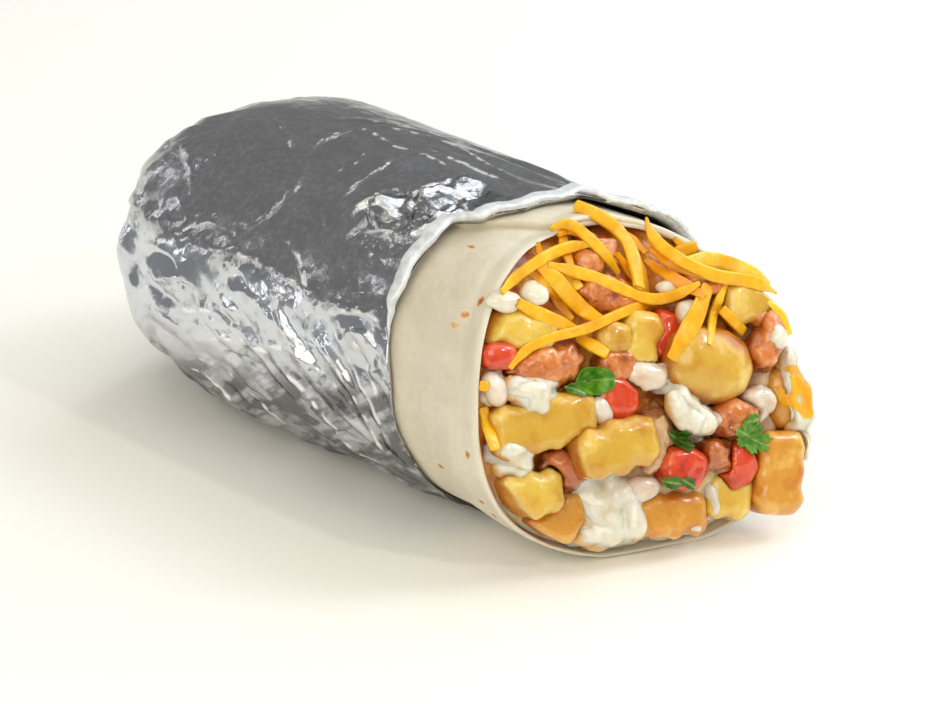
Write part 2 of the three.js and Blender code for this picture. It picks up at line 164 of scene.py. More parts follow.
# ---------------------------------------------------------------- the roll's form
@dataclass(frozen=True)
class Roll:
    """The rolled burrito as a smooth tube, oval, blunt at the tail and cut at a slant at the mouth.

    Lengths are in millimetres along the roll from its tail.
    """

    length: float = 155.4
    tail_width: float = 87.0
    tail_height: float = 71.0
    mouth_width: float = 76.0
    mouth_height: float = 72.0
    roundness: float = 2.15
    tail_rounding: float = 36.0
    tail_end: float = 0.45
    rest_flat: float = 1.2
    slant: float = 40.0
    slant_towards: float = 132.0
    saddle: float = 14.0
    saddle_towards: float = -23.0
    droop: float = 8.0
    droop_towards: float = -24.0
    foil_bulge: float = 0.8
    degree: float = 0.72  # millimetres round the roll in one degree

    @property
    def tail_x(self) -> float:
        """The tail's place in the row frame, in millimetres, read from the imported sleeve."""
        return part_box("foil_wrap")[0].x / MM + self.foil_bulge

    def reach(self, angle: Array) -> Array:
        """Distance from the tail to the mouth's rim.

        Args:
            angle: Angles round the roll.

        Returns:
            Distances in millimetres.
        """
        slant = 0.5 * self.slant * (1 + np.cos(np.radians(angle - self.slant_towards)))
        saddle = 0.5 * self.saddle * (1 + np.cos(2 * np.radians(angle - self.saddle_towards)))
        droop = self.droop * np.maximum(0, np.cos(np.radians(angle - self.droop_towards))) ** 2
        return self.length - slant + saddle - droop

    def point(self, x: Array, angle: Array, inset: Array) -> Array:
        """Points of the roll under its outer surface.

        Args:
            x: Distances from the tail.
            angle: Angles round the roll.
            inset: Depths under the outer surface; negative values stand out of it.

        Returns:
            Points in the row frame, in millimetres, shape (..., 3).
        """
        x, angle, inset = np.broadcast_arrays(*map(np.asarray, (x, angle, inset)))
        along = x / self.length
        width = self.tail_width + (self.mouth_width - self.tail_width) * along
        height = self.tail_height + (self.mouth_height - self.tail_height) * along
        run = np.clip((x - inset) / (self.tail_rounding - inset), 0, 1)
        tail = self.tail_end + (1 - self.tail_end) * np.sqrt(1 - (1 - run) ** 2)
        power = 2 / self.roundness
        cosine, sine = np.cos(np.radians(angle)), np.sin(np.radians(angle))
        half_width = (width / 2 - inset) * tail
        half_height = ((height + self.rest_flat) / 2 - inset) * tail
        y = half_width * np.sign(cosine) * np.abs(cosine) ** power
        z = (height - self.rest_flat) / 2 + half_height * np.sign(sine) * np.abs(sine) ** power
        return np.stack([x + self.tail_x, y, np.maximum(z, inset)], axis=-1)


@dataclass(frozen=True)
class MouthPlane:
    """The slanted plane across the mouth: right and up lie in it, and out points out of the filling."""

    roll: Roll
    x: float = 142.5
    z: float = 36.0
    tilt: float = 22.0
    turn: float = 19.0
    radius: float = 40.0
    widest: float = 1.3
    saddle: float = 5.5
    saddle_towards: float = 157.0
    bulge: float = 4.0
    slant: tuple[float, float] = (-0.417, 0.113)
    slant_level: float = 5.5

    @property
    def axes(self) -> Array:
        """Right, up and out as rows of a matrix."""
        tilt, turn = np.radians(self.tilt), np.radians(self.turn)
        out = np.array([np.cos(tilt) * np.cos(turn), -np.cos(tilt) * np.sin(turn), np.sin(tilt)])
        right = np.cross([0.0, 0.0, 1.0], out)
        right /= np.linalg.norm(right)
        return np.array([right, np.cross(out, right), out])

    @property
    def origin(self) -> Array:
        """The plane's middle in the row frame, in millimetres."""
        return np.array([self.x + self.roll.tail_x, 0.0, self.z])

    def to_row(self, points: Array) -> Array:
        """Points given as right, up and out, in the row frame."""
        return np.asarray(points) @ self.axes + self.origin

    def from_row(self, points: Array) -> Array:
        """Points of the row frame as right, up and out."""
        return (np.asarray(points) - self.origin) @ self.axes.T

    def surface(self, right: Array, up: Array) -> Array:
        """How far the filling stands out of the plane.

        Args:
            right: Places to the right.
            up: Places upwards.

        Returns:
            Heights in millimetres.
        """
        rho = np.minimum((right ** 2 + up ** 2) / self.radius ** 2, self.widest)
        around = np.arctan2(up, right) - np.radians(self.saddle_towards)
        return self.saddle * rho * np.cos(2 * around) + self.bulge * (1 - np.minimum(rho, 1))

    def slide(self, right: Array, up: Array, out: Array, level: float) -> tuple[Array, Array]:
        """Move places given at a level over the filling along the mouth's slant, to where out puts them."""
        over = out - self.surface(right, up) - level
        return right + self.slant[0] * over, up + self.slant[1] * over


# ---------------------------------------------------------------- finishes
def srgb(code: str) -> tuple[float, float, float, float]:
    """A colour written as sRGB hex, in linear light.

    Args:
        code: Six hex digits after a hash.

    Returns:
        Red, green, blue and an alpha of 1.
    """
    parts = [int(code[i:i + 2], 16) / 255 for i in (1, 3, 5)]
    linear = [p / 12.92 if p <= 0.04045 else ((p + 0.055) / 1.055) ** 2.4 for p in parts]
    return linear[0], linear[1], linear[2], 1.0


@dataclass(frozen=True)
class Step:
    """A kind of node, as one step of a recipe.

    Attributes:
        kind: The node's type without its ShaderNode prefix.
        inputs: Its inputs, in the order in which their values are given.
        output: The output that later steps take.
        fixed: Inputs that always have the same value.
        options: Options that are always the same.
    """

    kind: str
    inputs: tuple[str, ...]
    output: str
    fixed: Mapping[str, Any] = field(default_factory=dict)
    options: Mapping[str, Any] = field(default_factory=dict)


PLACE = Step("TexCoord", (), "Object")
MAPPED = Step("Mapping", ("Vector", "Rotation", "Scale", "Location"), "Vector")
FACING = Step("NewGeometry", (), "Normal")
MARK = Step("Attribute", (), "Fac")
# A cloud around a half; Detail and Roughness are the number and the strength of its finer layers.
CLOUD = Step("TexNoise", ("Vector", "Detail", "Roughness"), "Fac", {"Scale": 1.0})
DRIFT = Step("TexNoise", ("Vector",), "Color", {"Scale": 1.3, "Detail": 2.0})
CELLS = Step("TexVoronoi", ("Vector",), "Distance", {"Scale": 1.0})
FACETS = Step("TexVoronoi", ("Vector",), "Color", {"Scale": 1.0})
SUM = Step("Math", ("Value", "Value_001"), "Value", {}, {"operation": "ADD"})
PRODUCT = Step("Math", ("Value", "Value_001"), "Value", {}, {"operation": "MULTIPLY"})
# A range of values carried over to another one, 0 to 1 if none is given, easing at both ends.
EASE = Step("MapRange", ("Value", "From Min", "From Max", "To Min", "To Max"), "Result", {},
            {"interpolation_type": "SMOOTHSTEP"})
MIX = Step("Mix", ("Factor_Float", "A_Color", "B_Color"), "Result_Color", {}, {"data_type": "RGBA"})
RAMP = Step("ValToRGB", ("Fac",), "Color")
# Fine relief: heights from 0 to 1, the depth between them in metres, and coarser relief below.
BUMP = Step("Bump", ("Height", "Distance", "Normal"), "Normal", {"Strength": 1.0})
SCALED = Step("VectorMath", ("Vector", "Scale"), "Vector", {}, {"operation": "SCALE"})
MOVED = Step("VectorMath", ("Vector", "Vector_001"), "Vector", {}, {"operation": "ADD"})
UNIT = Step("VectorMath", ("Vector",), "Vector", {}, {"operation": "NORMALIZE"})


class Recipe:
    """A material's node tree, built one node at a time."""

    def __init__(self, name: str) -> None:
        """Start an empty tree with an output.

        Args:
            name: The material's name.
        """
        self.material = bpy.data.materials.new(name)
        self.material.use_nodes = True
        self.tree = self.material.node_tree
        self.tree.nodes.clear()
        self.output = self.tree.nodes.new("ShaderNodeOutputMaterial")

    def add(self, step: Step, *values: Any, **options: Any) -> Socket:
        """Add a node, set its options and fill or link its inputs.

        Args:
            step: What kind of node it is.
            *values: Numbers, colours as hex, or outputs of earlier steps, in the order of its inputs.
            **options: Options of the node.

        Returns:
            The output that later steps take.
        """
        node = self.tree.nodes.new("ShaderNode" + step.kind)
        for option, value in {**step.options, **options}.items():
            if option == "stops":
                set_stops(node.color_ramp, value)
            else:
                setattr(node, option, value)
        for name, value in {**step.fixed, **dict(zip(step.inputs, values))}.items():
            socket = named(node.inputs, name)
            if isinstance(value, Socket):
                self.tree.links.new(value, socket)
            else:
                socket.default_value = srgb(value) if isinstance(value, str) else value
        return named(node.outputs, step.output)

    def place(self, size: float, stretch: Sequence[float] = (1, 1, 1), turn: Sequence[float] = (0, 0, 0),
              shift: Sequence[float] = (0, 0, 0)) -> Socket:
        """Coordinates fixed to the object, in units of a real size.

        Args:
            size: Millimetres in one unit.
            stretch: Further stretch of the pattern along each axis.
            turn: Turn of the pattern about each axis, in degrees.
            shift: Shift of the pattern, in units.

        Returns:
            The coordinates' socket.
        """
        turned = self.add(MAPPED, self.add(PLACE), [float(np.radians(t)) for t in turn])
        return self.add(MAPPED, turned, (0, 0, 0), [1 / (MM * size * s) for s in stretch], shift)

    def tilted(self, place: Socket, amount: Any, below: Socket | None = None) -> Socket:
        """Flat facets that each lean their own way, with sharp folds between them.

        Args:
            place: Coordinates, with one facet to a unit.
            amount: How far they lean, as a number or socket.
            below: The normal that they lean from.

        Returns:
            The normal's socket.
        """
        bent = self.add(MOVED, place, self.add(SCALED, self.add(DRIFT, place), 0.7))
        lean = self.add(MOVED, self.add(FACETS, bent), (-0.5, -0.5, -0.5))
        leaning = self.add(MOVED, below or self.add(FACING), self.add(SCALED, lean, amount))
        return self.add(UNIT, leaning)

    def finish(self, inputs: Mapping[str, Any]) -> bpy.types.Material:
        """Close the tree with one principled surface.

        Args:
            inputs: The surface's inputs.

        Returns:
            The material.
        """
        surface = Step("BsdfPrincipled", tuple(inputs), "BSDF")
        options = {"subsurface_method": "RANDOM_WALK"} if "Subsurface Weight" in inputs else {}
        body = self.add(surface, *inputs.values(), **options)
        self.tree.links.new(body, self.output.inputs["Surface"])
        return self.material


def named(sockets: Sequence[Socket], name: str) -> Socket:
    """The socket with this identifier, or else with this name."""
    return next((s for s in sockets if s.identifier == name), None) or sockets[name]


def set_stops(ramp: bpy.types.ColorRamp, stops: Sequence[tuple[float, str]]) -> None:
    """Give a colour ramp its stops.

    Args:
        ramp: The ramp.
        stops: Places from 0 to 1 with their colours as hex.
    """
    while len(ramp.elements) < len(stops):
        ramp.elements.new(1.0)
    for element, (at, colour) in zip(ramp.elements, stops):
        element.position, element.color = at, srgb(colour)


@dataclass(frozen=True)
class Finish(ABC):
    """A material and surface process; its node material is made once and shared."""

    name: str

    @abstractmethod
    def build(self) -> bpy.types.Material:
        """Make the node material."""

    def material(self) -> bpy.types.Material:
        """The finish's node material."""
        return bpy.data.materials.get(self.name) or self.build()


@dataclass(frozen=True)
class CrumpledFoil(Finish):
    """Household aluminium foil, shiny side out and used by hand: bright broken glints beside dark planes, with
    painted highlights on its crease crests, a painted lighter tint on its near low side and painted shade near
    the table.

    Attributes:
        tint: Colour of the clean sheet.
        scuff_and_shade: Colour of its dull spots, which also stand in as painted shade in its small pits.
        fresh: Colour of its large smooth planes on the near low side, a lighter tint as painted light.
        painted_shade: Colour of the painted shade, in streaks, on the low sheet near the table.
        painted_glint: Colour of the painted highlight on its crease crests.
        roughness: Roughness of the sheet.
        lie: Turn of its facets about each axis, in degrees.
    """

    name: str = "aluminium_foil_crumpled"
    tint: str = "#C9C9CB"
    scuff_and_shade: str = "#B6B6B8"
    fresh: str = "#D6D8DE"
    painted_shade: str = "#4E4A4A"
    painted_glint: str = "#F4F4F6"
    roughness: float = 0.22
    lie: tuple[float, float, float] = (0.0, 32.0, 0.0)

    def build(self) -> bpy.types.Material:
        """Make the node material."""
        recipe = Recipe(self.name)
        sheet = recipe.add(MARK, attribute_name="sheet")
        broken = recipe.add(EASE, recipe.add(MARK, attribute_name="busy"), 0.1, 0.8, 0.05, 0.5)
        lean = recipe.add(SUM, broken, recipe.add(EASE, sheet, 0.0, 1.0, 0.0, 0.22))
        normal = recipe.tilted(recipe.place(8.0, (1.7, 1, 1), self.lie), lean)
        finer = recipe.place(2.6, (1.4, 1, 1), self.lie)
        normal = recipe.tilted(finer, recipe.add(PRODUCT, lean, 0.7), normal)
        calm = recipe.add(EASE, sheet, 0.0, 1.0, 1.0, 0.25)
        for size, rough, depth in ((1.6, 0.55, 0.14), (0.42, 0.6, 0.032)):
            wave = recipe.add(CLOUD, recipe.place(size), 2.0, rough)
            normal = recipe.add(BUMP, recipe.add(PRODUCT, wave, calm), depth * MM, normal)
        # Random darker specks: dull scuffs, and painted shade in the sheet's small pits.
        scuff_and_shade_specks = recipe.add(EASE, recipe.add(CLOUD, recipe.place(1.6), 4.0, 0.7), 0.42, 0.64)
        cloud = recipe.add(EASE, recipe.add(CLOUD, recipe.place(6.0), 3.0, 0.55), 0.35, 0.65, 0.55, 1.0)
        tint = recipe.add(MIX, recipe.add(PRODUCT, scuff_and_shade_specks, cloud), self.scuff_and_shade, self.tint)
        # Painted light: the large smooth planes on the near low side take a lighter tint.
        tint = recipe.add(MIX, sheet, tint, self.fresh)
        streaks = recipe.add(CLOUD, recipe.place(5.0, (3.0, 1, 1), turn=(0, 35, 0)), 3.0, 0.6)
        streaks = recipe.add(EASE, streaks, 0.42, 0.60, 0.8, 0.2)
        # Painted shade: the low sheet near the table is darkened in streaks, where it would mirror the shadowed
        # floor.
        low = recipe.add(MARK, attribute_name="table")
        tint = recipe.add(MIX, recipe.add(PRODUCT, low, streaks), tint, self.painted_shade)
        # Painted highlight: the crease crests are made whiter and less metallic.
        crest = recipe.add(EASE, recipe.add(MARK, attribute_name="crest"), 0.12, 0.85)
        tint = recipe.add(MIX, crest, tint, self.painted_glint)
        metal = recipe.add(EASE, crest, 0.0, 1.0, 1.0, 0.45)
        patches = recipe.add(CLOUD, recipe.place(9.0), 3.0, 0.5)
        rough = recipe.add(EASE, patches, 0.3, 0.7, self.roughness - 0.04, self.roughness + 0.06)
        return recipe.finish({"Base Color": tint, "Metallic": metal, "Roughness": rough, "Normal": normal})


@dataclass(frozen=True)
class FoilReverse(Finish):
    """The foil's pale reverse, turned outwards at the folded edge: reads as a nearly matte white band."""

    name: str = "aluminium_foil_pale_reverse"

    def build(self) -> bpy.types.Material:
        """Make the node material."""
        recipe = Recipe(self.name)
        crinkle = recipe.add(CLOUD, recipe.place(2.2), 3.0, 0.6)
        colour = recipe.add(MIX, recipe.add(EASE, crinkle, 0.35, 0.65), "#D4D8DE", "#EDEEEF")
        normal = recipe.add(BUMP, crinkle, 0.15 * MM)
        return recipe.finish({"Base Color": colour, "Metallic": 0.2, "Roughness": 0.38, "Normal": normal})


@dataclass(frozen=True)
class FlourTortilla(Finish):
    """Steamed flour tortilla: matte cream bread, a little see-through, with a few toasted spots and a painted
    highlight along its rim.
    """

    name: str = "flour_tortilla_steamed"

    def build(self) -> bpy.types.Material:
        """Make the node material."""
        recipe = Recipe(self.name)
        broad = recipe.add(CLOUD, recipe.place(15.0), 3.0, 0.5)
        fine = recipe.add(CLOUD, recipe.place(1.6), 3.0, 0.6)
        dough = recipe.add(MIX, recipe.add(EASE, broad, 0.35, 0.65), "#D5CBB7", "#DED6C5")
        dough = recipe.add(MIX, recipe.add(EASE, fine, 0.35, 0.75, 0.0, 0.3), dough, "#CABDA2")
        # Painted highlight: the rounded rim is made paler.
        pale = recipe.add(PRODUCT, recipe.add(MARK, attribute_name="pale"), 0.55)
        dough = recipe.add(MIX, pale, dough, "#EBE3D2")
        toasted = recipe.add(MARK, attribute_name="toast")
        ragged = recipe.add(SUM, toasted, recipe.add(EASE, fine, 0.2, 0.8, -0.22, 0.22))
        toast = recipe.add(RAMP, ragged, stops=(
            (0.0, "#EDE3CF"), (0.34, "#E3D0AE"), (0.6, "#CE9E66"), (0.85, "#AE713C"), (1.0, "#94592C")))
        colour = recipe.add(MIX, recipe.add(EASE, ragged, 0.12, 0.5), dough, toast)
        pores = recipe.add(CELLS, recipe.place(2.3))
        normal = recipe.add(BUMP, recipe.add(CLOUD, recipe.place(5.0), 4.0, 0.55), 0.5 * MM)
        normal = recipe.add(BUMP, pores, 0.05 * MM, normal)
        return recipe.finish({
            "Base Color": colour, "Roughness": 0.62, "Normal": normal, "Specular IOR Level": 0.35,
            "Subsurface Weight": 0.25, "Subsurface Radius": (1.0, 0.62, 0.36), "Subsurface Scale": 2.0 * MM})


@dataclass(frozen=True)
class CookedFood(Finish):
    """A moist cooked or cut food: a mottled body colour with painted highlights on its outward edges, painted
    shade in its hollows and juice colour with painted shade on its deeper sides, and a wet sheen.

    Attributes:
        deep: Colour in the darker mottles, and of the painted shade in hollows.
        body: Main colour.
        light: Colour of the paler mottles.
        edge: Colour of the painted highlight on its outward edges.
        juice_shade: Colour of juices and of painted shade on its deeper sides.
        edge_highlight_strength: How strongly edges take their painted highlight.
        juice_shade_strength: How strongly the deeper sides take juice colour and painted shade.
        mottle: Size of the mottles in millimetres.
        grain: Size of the fine relief in millimetres.
        grain_depth: Depth of the fine relief in millimetres.
        roughness: Roughness of the wet surface.
        gloss: Weight of the oily coat.
        scatter: How see-through it is, from 0 to 1.
        reach: Distance in millimetres that light travels inside.
        stretch: Stretch of the relief along the roll.
        fleck: Colour of small flecks in it, if it has any.
        bleed: How far red, green and blue light travel in it, as shares of reach.
    """

    deep: str
    body: str
    light: str
    edge: str
    juice_shade: str
    edge_highlight_strength: float
    juice_shade_strength: float
    mottle: float
    grain: float
    grain_depth: float
    roughness: float
    gloss: float
    scatter: float
    reach: float
    stretch: float = 1.0
    fleck: str = ""
    bleed: tuple[float, float, float] = (1.0, 0.5, 0.22)

    def build(self) -> bpy.types.Material:
        """Make the node material."""
        recipe = Recipe(self.name)
        cloud = recipe.add(CLOUD, recipe.place(self.mottle, (self.stretch, 1, 1)), 4.0, 0.55)
        body = recipe.add(RAMP, cloud, stops=(
            (0.30, self.deep), (0.47, self.body), (0.56, self.body), (0.72, self.light)))
        grain = recipe.add(CLOUD, recipe.place(self.grain, (self.stretch, 1, 1)), 3.0, 0.6)
        proud, glazed = (recipe.add(MARK, attribute_name=name) for name in ("proud", "glazed"))
        # Painted highlight on outward bends, from the proud mark, with some random variation.
        edge_highlight = recipe.add(SUM, proud, recipe.add(EASE, cloud, 0.3, 0.7, -0.35, 0.35))
        body = recipe.add(MIX, recipe.add(EASE, edge_highlight, 0.1, 0.9, 0.0, self.edge_highlight_strength), body, self.edge)
        # Painted shade in hollows, where the proud mark is below 0.
        sunk = recipe.add(EASE, proud, -0.15, -0.9, 0.0, 0.7)
        body = recipe.add(MIX, sunk, body, self.deep)
        # Juice colour and painted shade on the sides that lie deepest behind the mouth.
        juice_shading = recipe.add(SUM, glazed, recipe.add(EASE, cloud, 0.3, 0.7, 0.22, -0.22))
        body = recipe.add(MIX, recipe.add(EASE, juice_shading, 0.1, 1.0, 0.0, self.juice_shade_strength), body, self.juice_shade)
        if self.fleck:
            spot = recipe.add(EASE, recipe.add(CELLS, recipe.place(4.2)), 0.06, 0.16, 0.5, 0.0)
            some = recipe.add(EASE, recipe.add(CLOUD, recipe.place(6.0), 1.0, 0.5), 0.5, 0.6)
            body = recipe.add(MIX, recipe.add(PRODUCT, spot, some), body, self.fleck)
        rough = recipe.add(EASE, grain, 0.3, 0.7, self.roughness + 0.08, self.roughness - 0.08)
        normal = recipe.add(BUMP, grain, self.grain_depth * MM)
        return recipe.finish({
            "Base Color": body, "Roughness": rough, "Normal": normal,
            "Coat Weight": self.gloss, "Coat Roughness": 0.09, "Subsurface Weight": self.scatter,
            "Subsurface Radius": self.bleed, "Subsurface Scale": self.reach * MM})


@dataclass(frozen=True)
class ShreddedCheese(Finish):
    """Grated cheddar, softened by the warm filling: smooth satin yellow, melted shreds more orange."""

    name: str = "cheddar_shredded"

    def build(self) -> bpy.types.Material:
        """Make the node material."""
        recipe = Recipe(self.name)
        cloud = recipe.add(CLOUD, recipe.place(2.6), 3.0, 0.5)
        tint = recipe.add(MARK, attribute_name="tint")
        tint = recipe.add(SUM, tint, recipe.add(EASE, cloud, 0.3, 0.7, -0.18, 0.18))
        tone = recipe.add(EASE, tint, -1.2, 1.2)
        body = recipe.add(RAMP, tone, stops=(
            (0.0, "#FFDA5C"), (0.35, "#FCC524"), (0.55, "#F7B408"), (0.8, "#EC9A06"), (1.0, "#E08408")))
        grain = recipe.add(CLOUD, recipe.place(0.8), 2.0, 0.5)
        return recipe.finish({
            "Base Color": body, "Roughness": 0.36, "Normal": recipe.add(BUMP, grain, 0.06 * MM),
            "Coat Weight": 0.15, "Coat Roughness": 0.15, "Subsurface Weight": 0.35,
            "Subsurface Radius": (1.0, 0.55, 0.15), "Subsurface Scale": 1.6 * MM})


@dataclass(frozen=True)
class HerbLeaf(Finish):
    """Fresh coriander leaf: waxy mid green with a paler rib, darker where it has wilted."""

    name: str = "coriander_fresh_torn"

    def build(self) -> bpy.types.Material:
        """Make the node material."""
        recipe = Recipe(self.name)
        cloud = recipe.add(CLOUD, recipe.place(1.8), 3.0, 0.55)
        green = recipe.add(MIX, recipe.add(EASE, cloud, 0.3, 0.7), "#3E7A12", "#6CA51F")
        green = recipe.add(MIX, recipe.add(MARK, attribute_name="dark"), green, "#29440E")
        rib = recipe.add(PRODUCT, recipe.add(MARK, attribute_name="rib"), 0.6)
        green = recipe.add(MIX, rib, green, "#A9C46A")
        return recipe.finish({
            "Base Color": green, "Roughness": 0.38, "Normal": recipe.add(BUMP, cloud, 0.12 * MM),
            "Subsurface Weight": 0.2, "Subsurface Radius": (0.4, 1.0, 0.2), "Subsurface Scale": 0.6 * MM})


@dataclass(frozen=True)
class MixedFilling(Finish):
    """Crushed filling in sauce between the pieces: cream, golden potato and reddish oil run together."""

    name: str = "filling_mixed_sauced"

    def build(self) -> bpy.types.Material:
        """Make the node material."""
        recipe = Recipe(self.name)
        cloud = recipe.add(CLOUD, recipe.place(7.0), 4.0, 0.6)
        mixed = recipe.add(RAMP, cloud, stops=(
            (0.30, "#6A2E0A"), (0.42, "#A65416"), (0.53, "#CE8426"), (0.64, "#E0A844"), (0.76, "#E6C888")))
        streak = recipe.add(CLOUD, recipe.place(5.0, shift=(3.1, 0, 0)), 3.0, 0.5)
        sauce = recipe.add(MIX, recipe.add(EASE, streak, 0.36, 0.66), "#E6DFC9", "#DDBE7A")
        body = recipe.add(MIX, recipe.add(MARK, attribute_name="sauced"), mixed, sauce)
        grain = recipe.add(CLOUD, recipe.place(1.2), 3.0, 0.6)
        return recipe.finish({
            "Base Color": body, "Roughness": 0.40, "Normal": recipe.add(BUMP, grain, 0.3 * MM),
            "Coat Weight": 0.1, "Subsurface Weight": 0.2, "Subsurface Radius": (1.0, 0.5, 0.22),
            "Subsurface Scale": 1.5 * MM})


@dataclass(frozen=True)
class StudioFloor(Finish):
    """Matte white paper sweep: a plain floor that takes a soft, faintly warm shadow."""

    name: str = "studio_paper_white"

    def build(self) -> bpy.types.Material:
        """Make the node material."""
        paper = (0.95, 0.935, 0.885, 1.0)
        return Recipe(self.name).finish({"Base Color": paper, "Roughness": 0.9, "Specular IOR Level": 0.2})


# ---------------------------------------------------------------- meshes
def grid_faces(rows: int, columns: int, wrap: bool = True) -> Array:
    """Faces between neighbouring rows and columns of points.

    Args:
        rows: Number of rows.
        columns: Points in a row.
        wrap: Whether the last column joins the first.

    Returns:
        Four point numbers for each face.
    """
    row = np.arange(rows - 1)[:, None]
    column = np.arange(columns if wrap else columns - 1)[None, :]
    after = (column + 1) % columns
    corners = [row * columns + column, row * columns + after]
    corners += [(row + 1) * columns + after, (row + 1) * columns + column]
    return np.stack(corners, axis=-1).reshape(-1, 4)


def fan_faces(tip: int, first: int, columns: int, flip: bool) -> list[list[int]]:
    """Triangles from a tip to a closed ring that starts at its first point; flip turns them over."""
    ring = [(first + i, first + (i + 1) % columns) for i in range(columns)]
    return [[tip, b, a] if flip else [tip, a, b] for a, b in ring]


def closed_skin(tip: Array, rings: Array, end: Array) -> tuple[Array, list]:
    """A closed skin over rings of points, with a single point at either end.

    Args:
        tip: The first end.
        rings: Points, shape (rows, columns, 3).
        end: The last end.

    Returns:
        The points and the faces.
    """
    rows, columns = rings.shape[:2]
    vertices = np.concatenate([rings.reshape(-1, 3), [tip], [end]])
    faces = grid_faces(rows, columns)[:, ::-1].tolist()
    faces += fan_faces(rows * columns, 0, columns, True)
    faces += fan_faces(rows * columns + 1, (rows - 1) * columns, columns, False)
    return vertices, faces


def four_cornered(faces: Sequence[Sequence[int]]) -> Array:
    """Faces as rows of four point numbers, a triangle's last one twice."""
    return np.array([face if len(face) == 4 else [*face, face[-1]] for face in faces])


@dataclass
class Dough:
    """A mesh that is worked like dough: relaxed, swollen and roughened. Its points are in millimetres."""

    vertices: Array
    faces: list
    marks: dict[str, Array] = field(default_factory=dict)

    @classmethod
    def even(cls, mesh: bpy.types.Mesh, voxel: float) -> "Dough":
        """An even mesh over a Blender mesh, which is left as it is.

        Args:
            mesh: The mesh, in metres.
            voxel: Size of the new faces in millimetres.

        Returns:
            The new mesh.
        """
        working = bpy.data.objects.new("working", mesh.copy())
        bpy.context.scene.collection.objects.link(working)
        remesh = working.modifiers.new("even", "REMESH")
        remesh.mode = "VOXEL"
        remesh.voxel_size = voxel * MM
        graph = bpy.context.evaluated_depsgraph_get()
        result = bpy.data.meshes.new_from_object(working.evaluated_get(graph))
        dough = cls(vertex_array(result) / MM, [list(face.vertices) for face in result.polygons])
        used = working.data
        bpy.data.objects.remove(working)
        for spent in (used, result):
            bpy.data.meshes.remove(spent)
        return dough

    def evened(self, voxel: float) -> "Dough":
        """The same shape with even faces."""
        mesh = bpy.data.meshes.new("working")
        mesh.from_pydata((self.vertices * MM).tolist(), [], self.faces)
        result = Dough.even(mesh, voxel)
        bpy.data.meshes.remove(mesh)
        return result

    @classmethod
    def joined(cls, parts: Sequence["Dough"]) -> "Dough":
        """Several meshes as one, with the marks that they share."""
        vertices, faces, count = [], [], 0
        for part in parts:
            vertices.append(part.vertices)
            faces += [[corner + count for corner in face] for face in part.faces]
            count += len(part.vertices)
        marks = {name: np.concatenate([part.marks[name] for part in parts]) for name in parts[0].marks}
        return cls(np.concatenate(vertices), faces, marks)

    @property
    def edges(self) -> Array:
        """Each pair of neighbouring points once."""
        corners = four_cornered(self.faces)
        pairs = np.concatenate([corners[:, [i, (i + 1) % 4]] for i in range(4)])
        pairs = np.sort(pairs[pairs[:, 0] != pairs[:, 1]], axis=1)
        return np.unique(pairs, axis=0)

    def normals(self) -> Array:
        """Outward direction at each point."""
        corners = four_cornered(self.faces)
        a, b, c, d = (self.vertices[corners[:, i]] for i in range(4))
        faces = np.cross(c - a, d - b)
        flat = corners.ravel()
        shared = np.repeat(faces, 4, axis=0)
        count = len(self.vertices)
        total = np.stack([np.bincount(flat, shared[:, i], count) for i in range(3)], axis=-1)
        return total / np.maximum(np.linalg.norm(total, axis=-1, keepdims=True), 1e-12)

    def relaxed(self, values: Array, times: int) -> Array:
        """Values of the points, blended half and half with those of their neighbours.

        Args:
            values: One row for each point.
            times: How often they are blended.

        Returns:
            The blended values.
        """
        edges = self.edges
        count = len(self.vertices)
        ends = np.concatenate([edges, edges[:, ::-1]])
        degree = np.maximum(np.bincount(ends[:, 0], minlength=count), 1)[:, None]
        result = values.reshape(count, -1).astype(float)
        for _ in range(times):
            sums = [np.bincount(ends[:, 0], result[ends[:, 1], i], count) for i in range(result.shape[1])]
            result = result + 0.5 * (np.stack(sums, axis=-1) / degree - result)
        return result.reshape(values.shape)

    def relax(self, times: int) -> None:
        """Round the shape off."""
        self.vertices = self.relaxed(self.vertices, times)

    def swell(self, height: Array | float) -> None:
        """Move each point outwards by a height in millimetres."""
        self.vertices = self.vertices + self.normals() * np.reshape(height, (-1, 1))

    def mark_edges(self, name: str, reach: int, depth: float) -> None:
        """Mark where the surface bends outwards, above 0, and inwards, below 0; the finish paints highlights on
        the outward bends and shade in the hollows.

        Args:
            name: Name of the mark that the finish reads.
            reach: How many neighbours away a bend is felt.
            depth: Millimetres that a fully marked edge stands out of its surroundings.
        """
        smooth = self.relaxed(self.vertices, reach)
        proud = np.einsum("ij,ij->i", self.vertices - smooth, self.normals())
        self.marks[name] = np.clip(proud / depth, -1, 1)


def vertex_array(mesh: bpy.types.Mesh) -> Array:
    """The points of a Blender mesh, shape (count, 3)."""
    points = np.zeros(len(mesh.vertices) * 3)
    mesh.vertices.foreach_get("co", points)
    return points.reshape(-1, 3)


